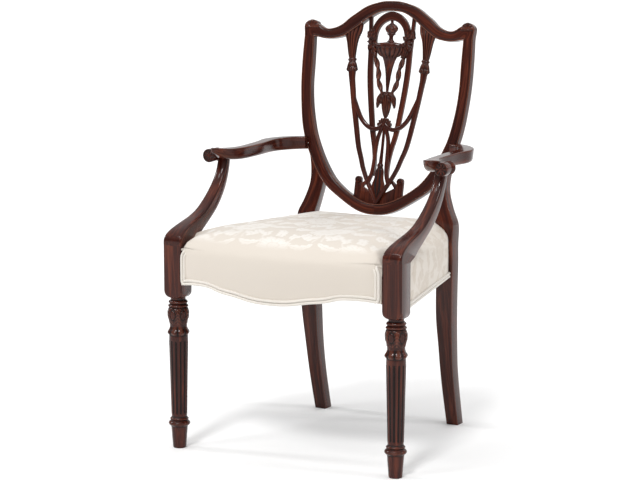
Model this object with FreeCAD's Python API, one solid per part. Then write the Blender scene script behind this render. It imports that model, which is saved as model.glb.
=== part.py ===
import FreeCAD, Part
import math
import os

from FreeCAD import Matrix, Vector

# Shield back armchair. X runs across, the sitter faces -Y, Z is up and the floor is Z = 0.
# Left pieces lie at -X. Lengths are millimetres.
# The back is drawn on its own raked board: x across, w up the board and d out of its front face.

# Overall sizes
RAIL_BOTTOM = 357.0
RAIL_HEIGHT = 83.0
FRONT_LEG_X = 268.0
FRONT_LEG_Y = -163.6
REAR_SEAT_X = 190.7
SEAT_BOW = 38.0
SEAT_CROWN = 59.0
BACK_FOOT_Y = 267.7
BACK_LIFT = 46.0
BACK_RAKE = 8.83
BACK_BOW = 13.5
ARM_RISE = 212.0
MIDDLE_Y = 65.6

# Sections
BLOCK = 46.0
SHOULDER_TOP = 15.0
RAIL_THICK = 24.0
FRONT_RAIL_THICK = 26.0
REAR_RAIL_THICK = 22.0
PADDING = 6.0
SHIELD_BACK_D = -3.7
SHIELD_FRONT_D = 15.5
SHIELD_CHAMFER = 3.0
RIB_CHAMFER = 2.0
JOINT_W = 409.0
TENON_THICK = 12.0
TENON_LONG = 18.0
REAR_TENON_LONG = 12.0
TENON_LOW = 28.0
TENON_HIGH = 73.0
DOWEL_R = 4.0
SUPPORT_DOWEL_R = 7.0
SCREW_R = 2.5
SCREW_HEAD_R = 4.5
SCREW_HEAD_TALL = 3.0
WEB_THICK = 1.8
DECK_THICK = 1.0
DUST_THICK = 0.8
CORD_R = 3.3
CORD_STEP = 6.8
CORD_TAPE = 0.8
CORD_PROUD = 3.8

# Clearances
CLEAR = 0.2
SOFT_CLEAR = 0.3

RAIL_TOP = RAIL_BOTTOM + RAIL_HEIGHT
BLOCK_TOP = RAIL_TOP + SHOULDER_TOP
BACK_Z = RAIL_TOP + BACK_LIFT
ARM_Z = RAIL_TOP + ARM_RISE
HALF = BLOCK / 2.0
LEG_BACK_Y = FRONT_LEG_Y + HALF
LEG_FACE_Y = FRONT_LEG_Y - HALF
LEG_INNER_X = FRONT_LEG_X - HALF
BACK_EDGE_Y = BACK_FOOT_Y + 22.0
SIDE_FRONT_Y = FRONT_LEG_Y + 79.6
REAR_SHOULDER_Y = BACK_FOOT_Y - 14.2
REAR_RAIL_Y = BACK_FOOT_Y - 5.7
SIDE_X = FRONT_LEG_X + 2.0
SIDE_TAPER = (SIDE_X - REAR_SEAT_X) / (REAR_SHOULDER_Y - SIDE_FRONT_Y)

ORIGIN = Vector(0, 0, 0)
ACROSS = Vector(1, 0, 0)
BACKWARD = Vector(0, 1, 0)
UP = Vector(0, 0, 1)


# General helpers


def closed(points):
    return Part.makePolygon(list(points) + [points[0]])


def prism(points, direction):
    return Part.Face(closed(points)).extrude(direction)


def plate(outline, low, tall):
    """Plan outline of (x, y) pairs, raised from the height low."""
    return prism([Vector(x, y, low) for x, y in outline], UP * tall)


def block(low, high):
    """Box between two opposite corners."""
    size = [high[i] - low[i] for i in range(3)]
    return Part.makeBox(size[0], size[1], size[2], Vector(*low))


def rod(start, end, radius):
    axis = end - start
    return Part.makeCylinder(radius, axis.Length, start, axis)


def screw(start, end):
    """Round shank with a head at its start."""
    axis = (end - start).normalize()
    head = Part.makeCylinder(SCREW_HEAD_R, SCREW_HEAD_TALL, start, axis)
    return rod(start, end, SCREW_R).fuse(head).removeSplitter()


def screw_hole(start, end):
    axis = (end - start).normalize()
    head = Part.makeCylinder(SCREW_HEAD_R + CLEAR, SCREW_HEAD_TALL + CLEAR, start, axis)
    return rod(start, end + axis * CLEAR, SCREW_R + CLEAR).fuse(head)


def main_body(shape):
    """Largest solid of a shape, which drops the crumbs that a cut can leave."""
    return max(shape.Solids, key=lambda solid: solid.Volume)


def cut(shape, *tools):
    for tool in tools:
        shape = shape.cut(tool)
    return main_body(shape)


def join(*shapes):
    body = shapes[0]
    for other in shapes[1:]:
        body = body.fuse(other)
    return body


def mirrored(shape):
    return shape.mirror(ORIGIN, ACROSS)


def both(shape):
    return [shape, mirrored(shape)]


def skin(sections, ruled=False):
    return Part.makeLoft([closed(points) for points in sections], True, ruled)


def spline(points):
    curve = Part.BSplineCurve()
    curve.interpolate([Vector(*p) for p in points])
    return curve.toShape()


def turned(profile):
    """Solid of revolution about Z. Rows are (radius, height) or (mid radius, mid height, radius, height)."""
    edges = []
    last = Vector(0, 0, profile[0][1])
    for row in profile:
        end = Vector(row[-2], 0, row[-1])
        if len(row) == 4:
            edges.append(Part.Arc(last, Vector(row[0], 0, row[1]), end).toShape())
        elif (end - last).Length > 0:
            edges.append(Part.makeLine(last, end))
        last = end
    top = Vector(0, 0, last.z)
    if (top - last).Length > 0:
        edges.append(Part.makeLine(last, top))
    edges.append(Part.makeLine(top, Vector(0, 0, profile[0][1])))
    return Part.Face(Part.Wire(edges)).revolve(ORIGIN, UP, 360)


# The raked back board


BOW_HALF = 205.0
BOW_RISE = 200.0


def sweep(x, w):
    """Depth by which the middle of the back bows away from the sitter."""
    side = min(abs(x) / BOW_HALF, 1.0)
    rise = min(max(w / BOW_RISE, 0.0), 1.0)
    return BACK_BOW * (1 - side * side) * rise * rise * (3 - 2 * rise)


def on_board(x, w, d):
    return Vector(x, w, d - sweep(x, w))


def to_chair(shape):
    """Stands a shape drawn on the board up in the chair."""
    placed = shape.copy()
    placed.rotate(ORIGIN, ACROSS, 90.0 - BACK_RAKE)
    placed.translate(Vector(0, BACK_FOOT_Y, BACK_Z))
    return placed


def strip(stations, back_d, front_d, chamfer):
    """Bar through stations of (x, w, half width) or (x, w, half width, back d, front d)."""
    sections = []
    for i, row in enumerate(stations):
        before = stations[max(i - 1, 0)]
        after = stations[min(i + 1, len(stations) - 1)]
        run = Vector(after[0] - before[0], after[1] - before[1], 0).normalize()
        x, w, half = row[:3]
        low, high = row[3:5] if len(row) == 5 else (back_d, front_d)
        c = min(chamfer, half * 0.5)
        corners = [(-half, low), (half, low), (half, high - c)]
        corners += [(half - c, high), (c - half, high), (-half, high - c)]
        sections.append([on_board(x + u * run.y, w - u * run.x, d) for u, d in corners])
    return skin(sections)


def band(pairs, low, high, chamfer):
    """Bar between an outer and an inner edge, given as pairs of (x, w) points."""
    sections = []
    for outer, inner in pairs:
        a = Vector(outer[0], outer[1], 0)
        b = Vector(inner[0], inner[1], 0)
        inward = (b - a).normalize() * chamfer
        rim = [(a, low), (b, low), (b, high - chamfer)]
        rim += [(b - inward, high), (a + inward, high), (a, high - chamfer)]
        sections.append([on_board(p.x, p.y, d) for p, d in rim])
    return skin(sections)


def board_plate(outline, back_d, front_d):
    """Flat fretted plate on the board; outline of (x, w) points, set back by the bow at its middle."""
    depth = sweep(0, sum(w for _, w in outline) / len(outline))
    points = [Vector(x, w, back_d - depth) for x, w in outline]
    return prism(points, Vector(0, 0, front_d - back_d))


def whole(half_outline):
    """Closes a half outline, given from top to bottom at +x, with its mirror image."""
    return half_outline + [(-x, w) for x, w in reversed(half_outline) if x > 0]


def stub(x, low, high):
    """Tenon of a rib that stands in the crest rail."""
    depth = sweep(x, high)
    return block((x - STUB_HALF, low, STUB_BACK_D - depth), (x + STUB_HALF, high, STUB_FRONT_D - depth))


def stub_hole(x, low, high):
    depth = sweep(x, high)
    grow = CLEAR
    near = (x - STUB_HALF - grow, low, STUB_BACK_D - depth - grow)
    far = (x + STUB_HALF + grow, high + grow, STUB_FRONT_D - depth + grow)
    return block(near, far)


STUB_HALF = 3.5
STUB_BACK_D = 2.0
STUB_FRONT_D = 8.0
STUB_LONG = 11.0


# Back: crest rail and the two sides of the shield


CREST_LOW = [
    (192.3, 409), (180, 407), (165, 404.3), (150, 404.5), (135, 406.5), (120, 411), (100, 423),
    (80, 437), (60, 453), (45, 462), (30, 469), (15, 471.5),
]
CREST_HIGH = [
    (177, 434.5), (170, 430), (160, 427.5), (147, 428.8), (133, 433.5), (120, 441.5), (105, 454.5),
    (90, 465), (75, 475.5), (60, 483.5), (40, 490), (20, 494.3),
]
CREST_TOP_W = 495.0
CREST_SOFFIT_W = 472.5
EAR_TOP = (200.0, 448.0)
EAR_CORNER = (222.0, 432.0)
EAR_WAIST = (217.3, 428.0)
STILE_OUTER_X = 216.3
CREST_DEEP_LOW = 380.0
CREST_DEEP_HIGH = 520.0
CREST_REACH = 230.0


def flip(points):
    return [(-x, w) for x, w in points]


def flat_spline(points):
    return spline([(x, w, 0) for x, w in points])


def crest_blank():
    """Crest rail drawn in front view, with both ears, as one closed outline."""
    low = CREST_LOW + [(0, CREST_SOFFIT_W)] + flip(reversed(CREST_LOW))
    high = CREST_HIGH + [(0, CREST_TOP_W)] + flip(reversed(CREST_HIGH))
    edges = [flat_spline(low), flat_spline(high)]
    for side in (1, -1):
        notch = Vector(side * CREST_HIGH[0][0], CREST_HIGH[0][1], 0)
        top = Vector(side * EAR_TOP[0], EAR_TOP[1], 0)
        corner = Vector(side * EAR_CORNER[0], EAR_CORNER[1], 0)
        waist = Vector(side * EAR_WAIST[0], EAR_WAIST[1], 0)
        foot = Vector(side * STILE_OUTER_X, JOINT_W, 0)
        inner = Vector(side * CREST_LOW[0][0], CREST_LOW[0][1], 0)
        edges.append(Part.Arc(notch, top, corner).toShape())
        edges += [Part.makeLine(corner, waist), Part.makeLine(waist, foot), Part.makeLine(foot, inner)]
    wire = Part.Wire(Part.__sortEdges__(edges))
    face = Part.Face(wire)
    face.translate(Vector(0, 0, -2 * BACK_BOW - BLOCK))
    return face.extrude(Vector(0, 0, 2 * BLOCK + 2 * BACK_BOW))


def bowed_slab(back_d, front_d, low_w, high_w):
    """Board of even thickness that is bowed across the back."""
    edges = []
    ends = []
    for d in (back_d, front_d):
        left = Vector(-BOW_HALF, low_w, d)
        right = Vector(BOW_HALF, low_w, d)
        middle = Vector(0, low_w, d - BACK_BOW)
        far_left = Vector(-CREST_REACH, low_w, d)
        far_right = Vector(CREST_REACH, low_w, d)
        edges += [Part.makeLine(far_left, left), Part.Arc(left, middle, right).toShape()]
        edges.append(Part.makeLine(right, far_right))
        ends.append((far_left, far_right))
    edges.append(Part.makeLine(ends[0][0], ends[1][0]))
    edges.append(Part.makeLine(ends[0][1], ends[1][1]))
    face = Part.Face(Part.Wire(Part.__sortEdges__(edges)))
    return face.extrude(Vector(0, high_w - low_w, 0))


SHIELD_PAIRS = [
    ((216.3, 409), (192.3, 409)), ((217.4, 370), (191.3, 370)), ((217.5, 335), (191, 335)),
    ((216.5, 300), (191, 303)), ((212.3, 252), (187, 255)), ((204.5, 200), (177.5, 205.5)),
    ((198, 175), (171.3, 183)), ((189, 150), (162.6, 161)), ((170, 112), (144.3, 124.5)),
    ((152, 83), (127, 98)), ((132, 61), (113, 80.5)), ((102, 39.5), (88.5, 60)),
    ((72, 21), (59.5, 42)), ((42, 6.5), (34, 31)), ((20, 1.2), (17, 26.4)), ((0, 0), (0, 25)),
]


# Splat pieces, drawn for the right side where they come in pairs


OUTER_RIB = [
    (96, 434, 23), (97, 415, 19.5), (97, 397, 15), (96.5, 379, 12), (95, 363, 9), (94, 353, 10),
    (93.5, 343, 12.5), (93, 335, 13), (92.3, 326, 8), (91.5, 317, 6.5), (89.3, 300, 6.5),
    (82.8, 260, 6.3), (75, 220, 6.2), (67, 180, 6), (59.5, 150, 5.6), (52, 130, 5.4),
    (45, 110, 5.2), (35.6, 90, 5), (27, 74, 5), (17, 58, 4.8), (8, 42, 4.5), (0, 27, 4),
]
INNER_RIB = [
    (56, 460, 5.5), (55, 442, 5), (54, 428, 6), (52.5, 415, 9.5), (51, 405, 7), (50, 388, 6.6),
    (49, 350, 6.5), (47, 315, 6.5), (40.7, 260, 6.3), (35, 220, 6.2), (30.5, 192, 6),
    (25, 168, 5.6), (20, 142, 5), (17.5, 115, 4.6), (18, 90, 4.4),
]
SMALL_RIB = [
    (3.5, 206, 4), (9.5, 190, 4.3), (13.5, 175, 4.5), (15.5, 155, 4.5), (16.3, 130, 4.5),
    (17.5, 105, 4.5), (20, 91, 4.8), (25, 78, 5.2),
]
ARCH_HALF = [(42, 386, 6), (42.5, 402, 6), (42, 418, 6.5), (39, 433, 7.5), (31, 447, 8), (17, 458, 9)]
LOOP_HALF = [
    (80, 262, 5), (74, 249, 5), (68, 236, 5), (60, 222, 5), (50, 210.5, 5), (40, 203, 5),
    (30, 199, 5), (20, 198.7, 5), (11, 203, 5), (0, 212, 5),
]
SWAG = [
    (45, 424, 4, 9, 13), (46, 410, 8, 9, 14), (45, 394, 8.5, 9, 14), (42, 378, 7.5, 6, 14),
    (37, 366, 6, 4, 12), (31, 352, 5.5, 3, 11), (26.5, 338, 5.5, 3, 11), (25.5, 324, 5.5, 3, 11),
    (25, 310, 5.5, 3, 11), (19, 297, 5.5, 3, 11), (13, 281, 5, 3, 11),
]
TASSEL_HALF = [
    (0, 283), (8, 282), (14, 277), (19, 270), (22, 262), (22.5, 255), (20, 249), (14.5, 252),
    (12, 247), (10, 240), (8, 230), (4, 225), (0, 223.5),
]
LEAF_HALF = [
    (0, 204), (2.5, 193), (3, 160), (4.5, 118), (6.5, 114), (5.5, 110), (9, 106), (10, 95),
    (12, 80), (17, 70), (12, 56), (6, 44), (0, 36),
]
SHOE_HALF = [
    (0, 58), (10, 54), (21, 54), (40, 64), (28, 78), (32, 83), (45, 71), (46, 78), (47.5, 84),
    (53.5, 87), (59.5, 84), (62, 78), (62, 30), (30, 14), (0, 8),
]
SHOE_D = (-3.0, 4.6)
OUTER_D = (4.0, 14.0)
INNER_D = (-1.0, 7.0)
SMALL_D = (6.0, 14.0)
LOOP_D = (5.0, 13.0)
ARCH_D = (0.0, 11.0)
LEAF_D = (5.0, 12.0)
TASSEL_D = (2.0, 11.0)
ROSETTE_D = (3.0, 12.5)
ROSETTE_W = 208.0
ROSETTE_R = 17.0
URN_D = 6.0
URN_FLATTEN = 0.42
URN_PROFILE = [
    (3, 280), (4, 290), (5.5, 305), (7, 322), (9.5, 340), (12, 350), (15, 360), (18, 365.5),
    (29, 373, 35, 387), (37, 388), (38.5, 393, 36, 398), (20, 399), (9, 401), (5, 407), (5, 413),
    (7, 419), (10.5, 421), (15.5, 431, 8, 441), (3.5, 443), (3.5, 456),
]


def urn():
    """Turned urn with stem and finial, flattened to the thickness of the splat."""
    body = turned(URN_PROFILE)
    body.rotate(ORIGIN, ACROSS, -90)
    squash = Matrix()
    squash.scale(1, 1, URN_FLATTEN)
    body = body.transformGeometry(squash)
    body = main_body(body)
    body.translate(Vector(0, 0, URN_D - sweep(0, CREST_TOP_W)))
    return body


def make_back():
    """All pieces of the back, still lying on the board."""
    half_space = block((0, -60, -90), (400, 600, 90))
    side = band(SHIELD_PAIRS, SHIELD_BACK_D, SHIELD_FRONT_D, SHIELD_CHAMFER).common(half_space)
    side = main_body(side)
    slab = bowed_slab(SHIELD_BACK_D, SHIELD_FRONT_D, CREST_DEEP_LOW, CREST_DEEP_HIGH)
    crest = main_body(crest_blank().common(slab))
    sides = both(side)

    shoe = board_plate(whole(SHOE_HALF), *SHOE_D)
    shoe = cut(shoe, *sides)

    outer = strip(OUTER_RIB, *OUTER_D, RIB_CHAMFER).common(half_space)
    outer_peg = stub(OUTER_RIB[0][0], 405, 426 + STUB_LONG)
    outer = cut(outer, crest, side, shoe)
    outer = main_body(outer.fuse(outer_peg))

    arch_line = ARCH_HALF + [(0, 462, 10.8)] + [(-x, w, h) for x, w, h in reversed(ARCH_HALF)]
    inner = strip(INNER_RIB, *INNER_D, RIB_CHAMFER)
    inner_peg = stub(INNER_RIB[0][0], 440, 456 + STUB_LONG)
    inner = cut(inner, crest, shoe)
    inner = main_body(inner.fuse(inner_peg))
    inners = both(inner)
    outers = both(outer)
    crest = cut(crest, *both(stub_hole(OUTER_RIB[0][0], 400, 426 + STUB_LONG)))
    crest = cut(crest, *both(stub_hole(INNER_RIB[0][0], 440, 456 + STUB_LONG)))

    arch = cut(strip(arch_line, *ARCH_D, RIB_CHAMFER), crest, *inners)
    tassel = board_plate(whole(TASSEL_HALF), *TASSEL_D)
    vase = cut(urn(), arch, tassel, *inners)
    disc = Part.makeCylinder(ROSETTE_R, ROSETTE_D[1] - ROSETTE_D[0])
    disc.translate(Vector(0, ROSETTE_W, ROSETTE_D[0] - sweep(0, ROSETTE_W)))
    rosette = disc.common(block((-50, ROSETTE_W, -90), (50, 300, 90)))
    rosette = cut(rosette, tassel)
    swag = cut(strip(SWAG, 0, 0, RIB_CHAMFER), arch, vase, tassel, *inners)

    lobe = strip(LOOP_HALF, *LOOP_D, RIB_CHAMFER)
    loop = join(*both(lobe))
    loop = cut(loop, rosette, *outers)
    inners = [cut(rib, loop) for rib in inners]
    small = cut(strip(SMALL_RIB, *SMALL_D, RIB_CHAMFER), inners[0], loop, outer, shoe)
    small = main_body(small.common(half_space))
    leaf = board_plate(whole(LEAF_HALF), *LEAF_D)
    leaf = cut(leaf, loop, shoe, *both(small), *outers, *inners, *sides)

    pieces = {
        "crest_rail": crest, "splat_shoe": shoe, "splat_arch": arch, "splat_urn": vase,
        "splat_tassel": tassel, "splat_half_rosette": rosette, "splat_loop": loop,
        "splat_centre_leaf": leaf,
    }
    pairs = {
        "shield_side": sides, "splat_outer_rib": outers, "splat_inner_rib": inners,
        "splat_small_rib": both(small), "splat_swag": both(swag),
    }
    for name, (right, left) in pairs.items():
        pieces[name + "_right"] = right
        pieces[name + "_left"] = left
    return {name: to_chair(shape) for name, shape in pieces.items()}


# Rear legs, which run up behind the shield as back posts


LEG_ROWS = [
    (0.0, 160.0, 188.7, 316.0, 347.0), (0.14, 159.7, 189.5, 301.5, 333.0),
    (0.28, 159.3, 190.3, 288.3, 320.0), (0.42, 159, 191.2, 277.3, 310.0),
    (0.56, 158.4, 193.2, 268.8, 302.8), (0.7, 156.8, 195.4, 261.5, 296.4),
    (0.84, 157, 197, 257.8, 293.0), (0.98, 158.5, 198.6, 255.6, 291.0),
    (1.12, 159.8, 199.8, 254.0, 289.6),
]
POST_ROWS = [
    (-46, 201, 160, 161.5, 11, -26.5), (-20, 202, 157, 162, 14, -23), (0, 199, 155, 161, 14.5, -21),
    (15, 192, 151, 157, 14, -20.3), (40, 182, 145, 151, 13, -19.5), (58, 176.5, 141.5, 147, 12.5, -19),
    (75, 174.5, 141, 146, 11.5, -18), (95, 175.5, 144, 148, 10.5, -17), (120, 180, 152, 155, 9, -16),
    (138, 184.5, 159, 161, 8, -15), (160, 188, 166, 167, 7, -13.5),
]


def back_leg(grow=0.0):
    """Sabre leg and post in one piece; rows are floor to seat, then seat to the arm joint."""
    sections = []
    for share, inner, outer, front, back in LEG_ROWS:
        z = share * RAIL_BOTTOM
        corners = [(outer + grow, front - grow), (inner - grow, front - grow)]
        corners += [(inner - grow, back + grow), (outer + grow, back + grow)]
        sections.append([Vector(x, y, z) for x, y in corners])
    tilt = math.radians(BACK_RAKE)
    for w, outer, front_in, back_in, front_d, back_d in POST_ROWS:
        corners = [(outer + grow, front_d + grow), (front_in - grow, front_d + grow)]
        corners += [(back_in - grow, back_d - grow), (outer + grow, back_d - grow)]
        row = []
        for x, d in corners:
            y = BACK_FOOT_Y + w * math.sin(tilt) - d * math.cos(tilt)
            z = BACK_Z + w * math.cos(tilt) + d * math.sin(tilt)
            row.append(Vector(x, y, z))
        sections.append(row)
    return skin(sections)


# Front legs


FOOT_PROFILE = [
    (14, 0), (14.8, 3), (18, 45), (18.6, 49), (19.5, 50), (23.7, 56, 19.5, 62), (18.4, 63.5),
    (20.3, 66, 18.4, 68.5), (16.9, 71.5), (17.3, 76), (21.2, 245), (21.6, 250),
    (25, 261, 21.6, 270), (20.4, 273), (21.4, 276), (25.2, 299, 22, 316), (20.8, 317),
    (21.6, 320, 20.8, 323), (18.6, 324), (20.3, 328, 18.6, 332), (17, 333), (17, 342),
]
FLUTE_COUNT = 12
FLUTE_R = 2.9
FLUTE_LOW = 79.0
FLUTE_HIGH = 241.0
SHAFT_LOW_R = 17.4
SHAFT_HIGH_R = 21.1
FLUTE_OUT = 1.3
PROFILE_TALL = 357.0


def flutes(stretch):
    low = Vector(SHAFT_LOW_R + FLUTE_OUT, 0, FLUTE_LOW * stretch)
    high = Vector(SHAFT_HIGH_R + FLUTE_OUT, 0, FLUTE_HIGH * stretch)
    groove = rod(low, high, FLUTE_R)
    groove = groove.fuse(Part.makeSphere(FLUTE_R, low)).fuse(Part.makeSphere(FLUTE_R, high))
    ring = []
    for i in range(FLUTE_COUNT):
        one = groove.copy()
        one.rotate(ORIGIN, UP, (i + 0.5) * 360.0 / FLUTE_COUNT)
        ring.append(one)
    return Part.makeCompound(ring)


def front_leg():
    stretch = RAIL_BOTTOM / PROFILE_TALL
    rows = [tuple(v * stretch if i % 2 else v for i, v in enumerate(row)) for row in FOOT_PROFILE]
    stem = turned(rows)
    stem = stem.cut(flutes(stretch))
    low = 338.0 * stretch
    cube = block((-HALF, -HALF, low), (HALF, HALF, BLOCK_TOP))
    dome = turned([(15, low), (24, low + 2.5, 28.5, low + 9), (33, low + 18), (33, BLOCK_TOP)])
    body = stem.fuse(cube.common(dome))
    body = main_body(body)
    body.translate(Vector(FRONT_LEG_X, FRONT_LEG_Y, 0))
    return body


# Arm supports: rows of front (y, z), back (y, z), half width and outward lean, from the block up


SUPPORT_ROWS = [
    ((-186.6, 15), (-140.6, 15), 23, 0), ((-187, 27), (-133, 17.5), 22.5, 0),
    ((-178, 42), (-118, 22), 21.5, 0), ((-150, 55), (-98, 31.5), 19, 0),
    ((-121, 63.5), (-77, 42), 17, 0.5), ((-96, 70.5), (-57, 53), 15.8, 1), ((-68, 82), (-36, 65), 14.8, 1.5),
    ((-42, 98.5), (-14, 80), 14, 2), ((-19, 117), (8, 100), 13.2, 2.5), ((3, 139), (28, 125), 12.5, 3),
    ((19, 162), (42, 152), 12, 3.5), ((29, 187), (51, 185), 12, 4),
]
SUPPORT_SHOULDER = 5.0
SUPPORT_FOOT_Y = -163.6
SUPPORT_FOOT_HALF = 23.0
SUPPORT_FOOT_RISE = 15.0
SUPPORT_TALL = 197.0


def support_point(y, rise):
    """Stands a drawn point of the support between this chair's leg block and its arm."""
    up = (rise - SUPPORT_FOOT_RISE) / SUPPORT_TALL
    low = min(max(1.0 - up * 4.0, 0.0), 1.0)
    spread = 1.0 + (HALF / SUPPORT_FOOT_HALF - 1.0) * low
    foot_y = FRONT_LEG_Y + (y - SUPPORT_FOOT_Y) * spread
    y = foot_y * (1.0 - up) + y * up
    return Vector(0, y, BLOCK_TOP + up * (ARM_RISE - SHOULDER_TOP))


def arm_support(grow=0.0):
    sections = []
    for front, back, half, lean in SUPPORT_ROWS:
        f = support_point(*front)
        b = support_point(*back)
        run = (f - b).normalize()
        f = f + run * grow
        b = b - run * grow
        side = half * HALF / SUPPORT_FOOT_HALF + grow
        edge = f - run * SUPPORT_SHOULDER
        middle = FRONT_LEG_X + lean
        row = [(side, b), (side, edge), (side * 0.55, f), (-side * 0.55, f), (-side, edge), (-side, b)]
        sections.append([Vector(middle + x, p.y, p.z) for x, p in row])
    return skin(sections)


# Arms: rows of inner (x, y), outer (x, y), bottom and top height against the arm height


ARM_ROWS = [
    ((186, 261), (188, 291), -22, 7.5), ((204, 254), (213, 281.5), -23, 7.2),
    ((220, 238), (240, 262), -24, 6.5), ((231, 217), (260, 235), -25, 5.3),
    ((234, 194), (267, 203), -26, 4), ((233, 174), (263, 180), -26.5, 3),
    ((230.5, 150), (259, 153), -27, 2), ((229.5, 118), (257.2, 118), -28, 0.5),
    ((230.5, 85), (256, 84), -29, -0.8), ((232, 60), (260, 58), -29, -1.5), ((235.5, 38), (271, 38), -28, -1.8),
    ((240, 18), (284, 20), -25, -1.2), ((247, 0), (288, 4), -19, 0.5), ((254, -12), (283, -9), -13, 2),
    ((262, -19), (276, -18), -7, 2),
]
ARM_EASE = 5.0
ARM_DRAWN_X = 268.0
ARM_BEND_Y = 238.0
ARM_FREE_Y = 60.0


def arm_point(x, y):
    """Moves the free part of the arm with the leg that carries it; its rear end stays at the back."""
    share = min(max((ARM_BEND_Y - y) / (ARM_BEND_Y - ARM_FREE_Y), 0.0), 1.0)
    return Vector(x + (FRONT_LEG_X - ARM_DRAWN_X) * share, y, 0)


def arm():
    sections = []
    for inner, outer, low, high in ARM_ROWS:
        a = arm_point(*inner)
        b = arm_point(*outer)
        width = (b - a).Length
        ease = min(ARM_EASE, width * 0.25)
        out = (b - a).normalize() * ease
        lift = UP * ease * 0.6
        z0 = UP * (ARM_Z + low)
        z1 = UP * (ARM_Z + high)
        row = [a + out + z0, b - out + z0, b + z0 + lift, b + z1 - lift, b - out + z1]
        row += [a + out + z1, a + z1 - lift, a + z0 + lift]
        sections.append(row)
    return skin(sections)


SCROLL_X = 21.2
SCROLL_Y = 0.5
SCROLL_Z = -18.0
SCROLL_PROFILE = [
    (4, 0), (5, 1), (10, 1), (11, 0), (12.5, 0), (14, 1.5), (14, 22), (13, 25), (9.5, 28, 9, 32),
    (13.5, 41, 8, 50), (3, 52),
]


def arm_scroll():
    """Turned roll with a rosette face, lying front to back under the outer edge of the hand rest."""
    body = turned(SCROLL_PROFILE)
    body.rotate(ORIGIN, ACROSS, -90)
    body.translate(Vector(FRONT_LEG_X + SCROLL_X, SCROLL_Y, ARM_Z + SCROLL_Z))
    return body


# Seat frame


def side_x(y, inset=0.0):
    """Half width of the seat at y, measured to the cover, less an inset square to the side."""
    line = SIDE_X - SIDE_TAPER * (y - SIDE_FRONT_Y)
    return line - inset * math.hypot(1.0, SIDE_TAPER)


def front_y(x, inset=0.0):
    """Bowed front of the seat."""
    span = min(abs(x) / LEG_INNER_X, 1.0)
    return LEG_FACE_Y - SEAT_BOW * (1 - span * span) + inset


def front_arc(reach, inset):
    """Edge of the bowed front between the planes x = -reach and reach, as one arc."""
    ends = [Vector(s * reach, front_y(reach, inset), 0) for s in (-1, 1)]
    return Part.Arc(ends[0], Vector(0, front_y(0, inset), 0), ends[1]).toShape()


def seat_plan(front_inset, side_inset, back_y, z, tall):
    """Raised seat outline: bowed front, tapered sides, straight back."""
    reach = LEG_INNER_X - side_inset
    y0 = front_y(reach, front_inset)
    corner = Vector(side_x(y0, side_inset), y0, 0)
    rear = Vector(side_x(back_y, side_inset), back_y, 0)
    arc = front_arc(reach, front_inset)
    ends = [Vector(-reach, y0, 0), Vector(reach, y0, 0)]
    left = [Vector(-corner.x, corner.y, 0), Vector(-rear.x, rear.y, 0)]
    edges = [arc, Part.makeLine(ends[1], corner), Part.makeLine(corner, rear)]
    edges += [Part.makeLine(rear, left[1]), Part.makeLine(left[1], left[0])]
    edges.append(Part.makeLine(left[0], ends[0]))
    wire = Part.Wire(edges)
    wire.translate(Vector(0, 0, z))
    return wire if tall == 0 else Part.Face(wire).extrude(UP * tall)


RAIL_LIFT = 4.0
HEM = [(0, -5.0), (48, -2.5), (96, 5.5), (128, 9.5), (157, 16.5), (185, 18), (212, 17), (250, 11.5)]
HEM_BELOW = 60.0


def hem_cutter(lift, z_floor):
    """Everything under the shaped lower edge of the front, raised by lift but not under z_floor."""
    line = [(x, max(RAIL_BOTTOM + z + lift, z_floor)) for x, z in HEM]
    top = [(-x, 0, z) for x, z in reversed(line) if x > 0] + [(x, 0, z) for x, z in line]
    curve = spline(top)
    left = Vector(*top[0])
    right = Vector(*top[-1])
    low_left = Vector(left.x, 0, RAIL_BOTTOM - HEM_BELOW)
    low_right = Vector(right.x, 0, RAIL_BOTTOM - HEM_BELOW)
    edges = [curve, Part.makeLine(right, low_right), Part.makeLine(low_right, low_left)]
    edges.append(Part.makeLine(low_left, left))
    face = Part.Face(Part.Wire(edges))
    face.translate(Vector(0, front_y(0) - BLOCK, 0))
    return face.extrude(Vector(0, LEG_BACK_Y - front_y(0) + BLOCK, 0))


def grown(box_low, box_high, grow):
    return block([v - grow for v in box_low], [v + grow for v in box_high])


def front_tenon(grow=0.0):
    y = front_y(LEG_INNER_X, PADDING + FRONT_RAIL_THICK / 2.0) - 5.0
    low = (LEG_INNER_X - 6, y - TENON_THICK / 2, RAIL_BOTTOM + TENON_LOW)
    high = (LEG_INNER_X + TENON_LONG, y + TENON_THICK / 2, RAIL_BOTTOM + TENON_HIGH)
    return grown(low, high, grow)


def side_front_tenon(grow=0.0):
    x = side_x(LEG_BACK_Y, PADDING + RAIL_THICK / 2.0)
    low = (x - TENON_THICK / 2, LEG_BACK_Y - TENON_LONG + 1, RAIL_BOTTOM + TENON_LOW)
    high = (x + TENON_THICK / 2, LEG_BACK_Y + 6, RAIL_BOTTOM + TENON_HIGH)
    return grown(low, high, grow)


REAR_TENON_X = 160.0


def side_rear_tenon(grow=0.0):
    x = side_x(REAR_SHOULDER_Y, PADDING + RAIL_THICK / 2.0) + 3.0
    low = (x - TENON_THICK / 2, REAR_SHOULDER_Y - 8, RAIL_BOTTOM + TENON_LOW)
    high = (x + TENON_THICK / 2, REAR_SHOULDER_Y + REAR_TENON_LONG, RAIL_BOTTOM + TENON_HIGH)
    return grown(low, high, grow)


def rear_tenon(grow=0.0):
    y = REAR_RAIL_Y + REAR_RAIL_THICK / 2 + 4
    low = (REAR_TENON_X - 8, y - TENON_THICK / 2 + 1, RAIL_BOTTOM + TENON_LOW)
    high = (REAR_TENON_X + 16, y + TENON_THICK / 2 - 1, RAIL_BOTTOM + TENON_HIGH)
    return grown(low, high, grow)


def rail_prism(points):
    low = RAIL_BOTTOM + RAIL_LIFT
    return plate(points, low, RAIL_TOP - low)


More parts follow.
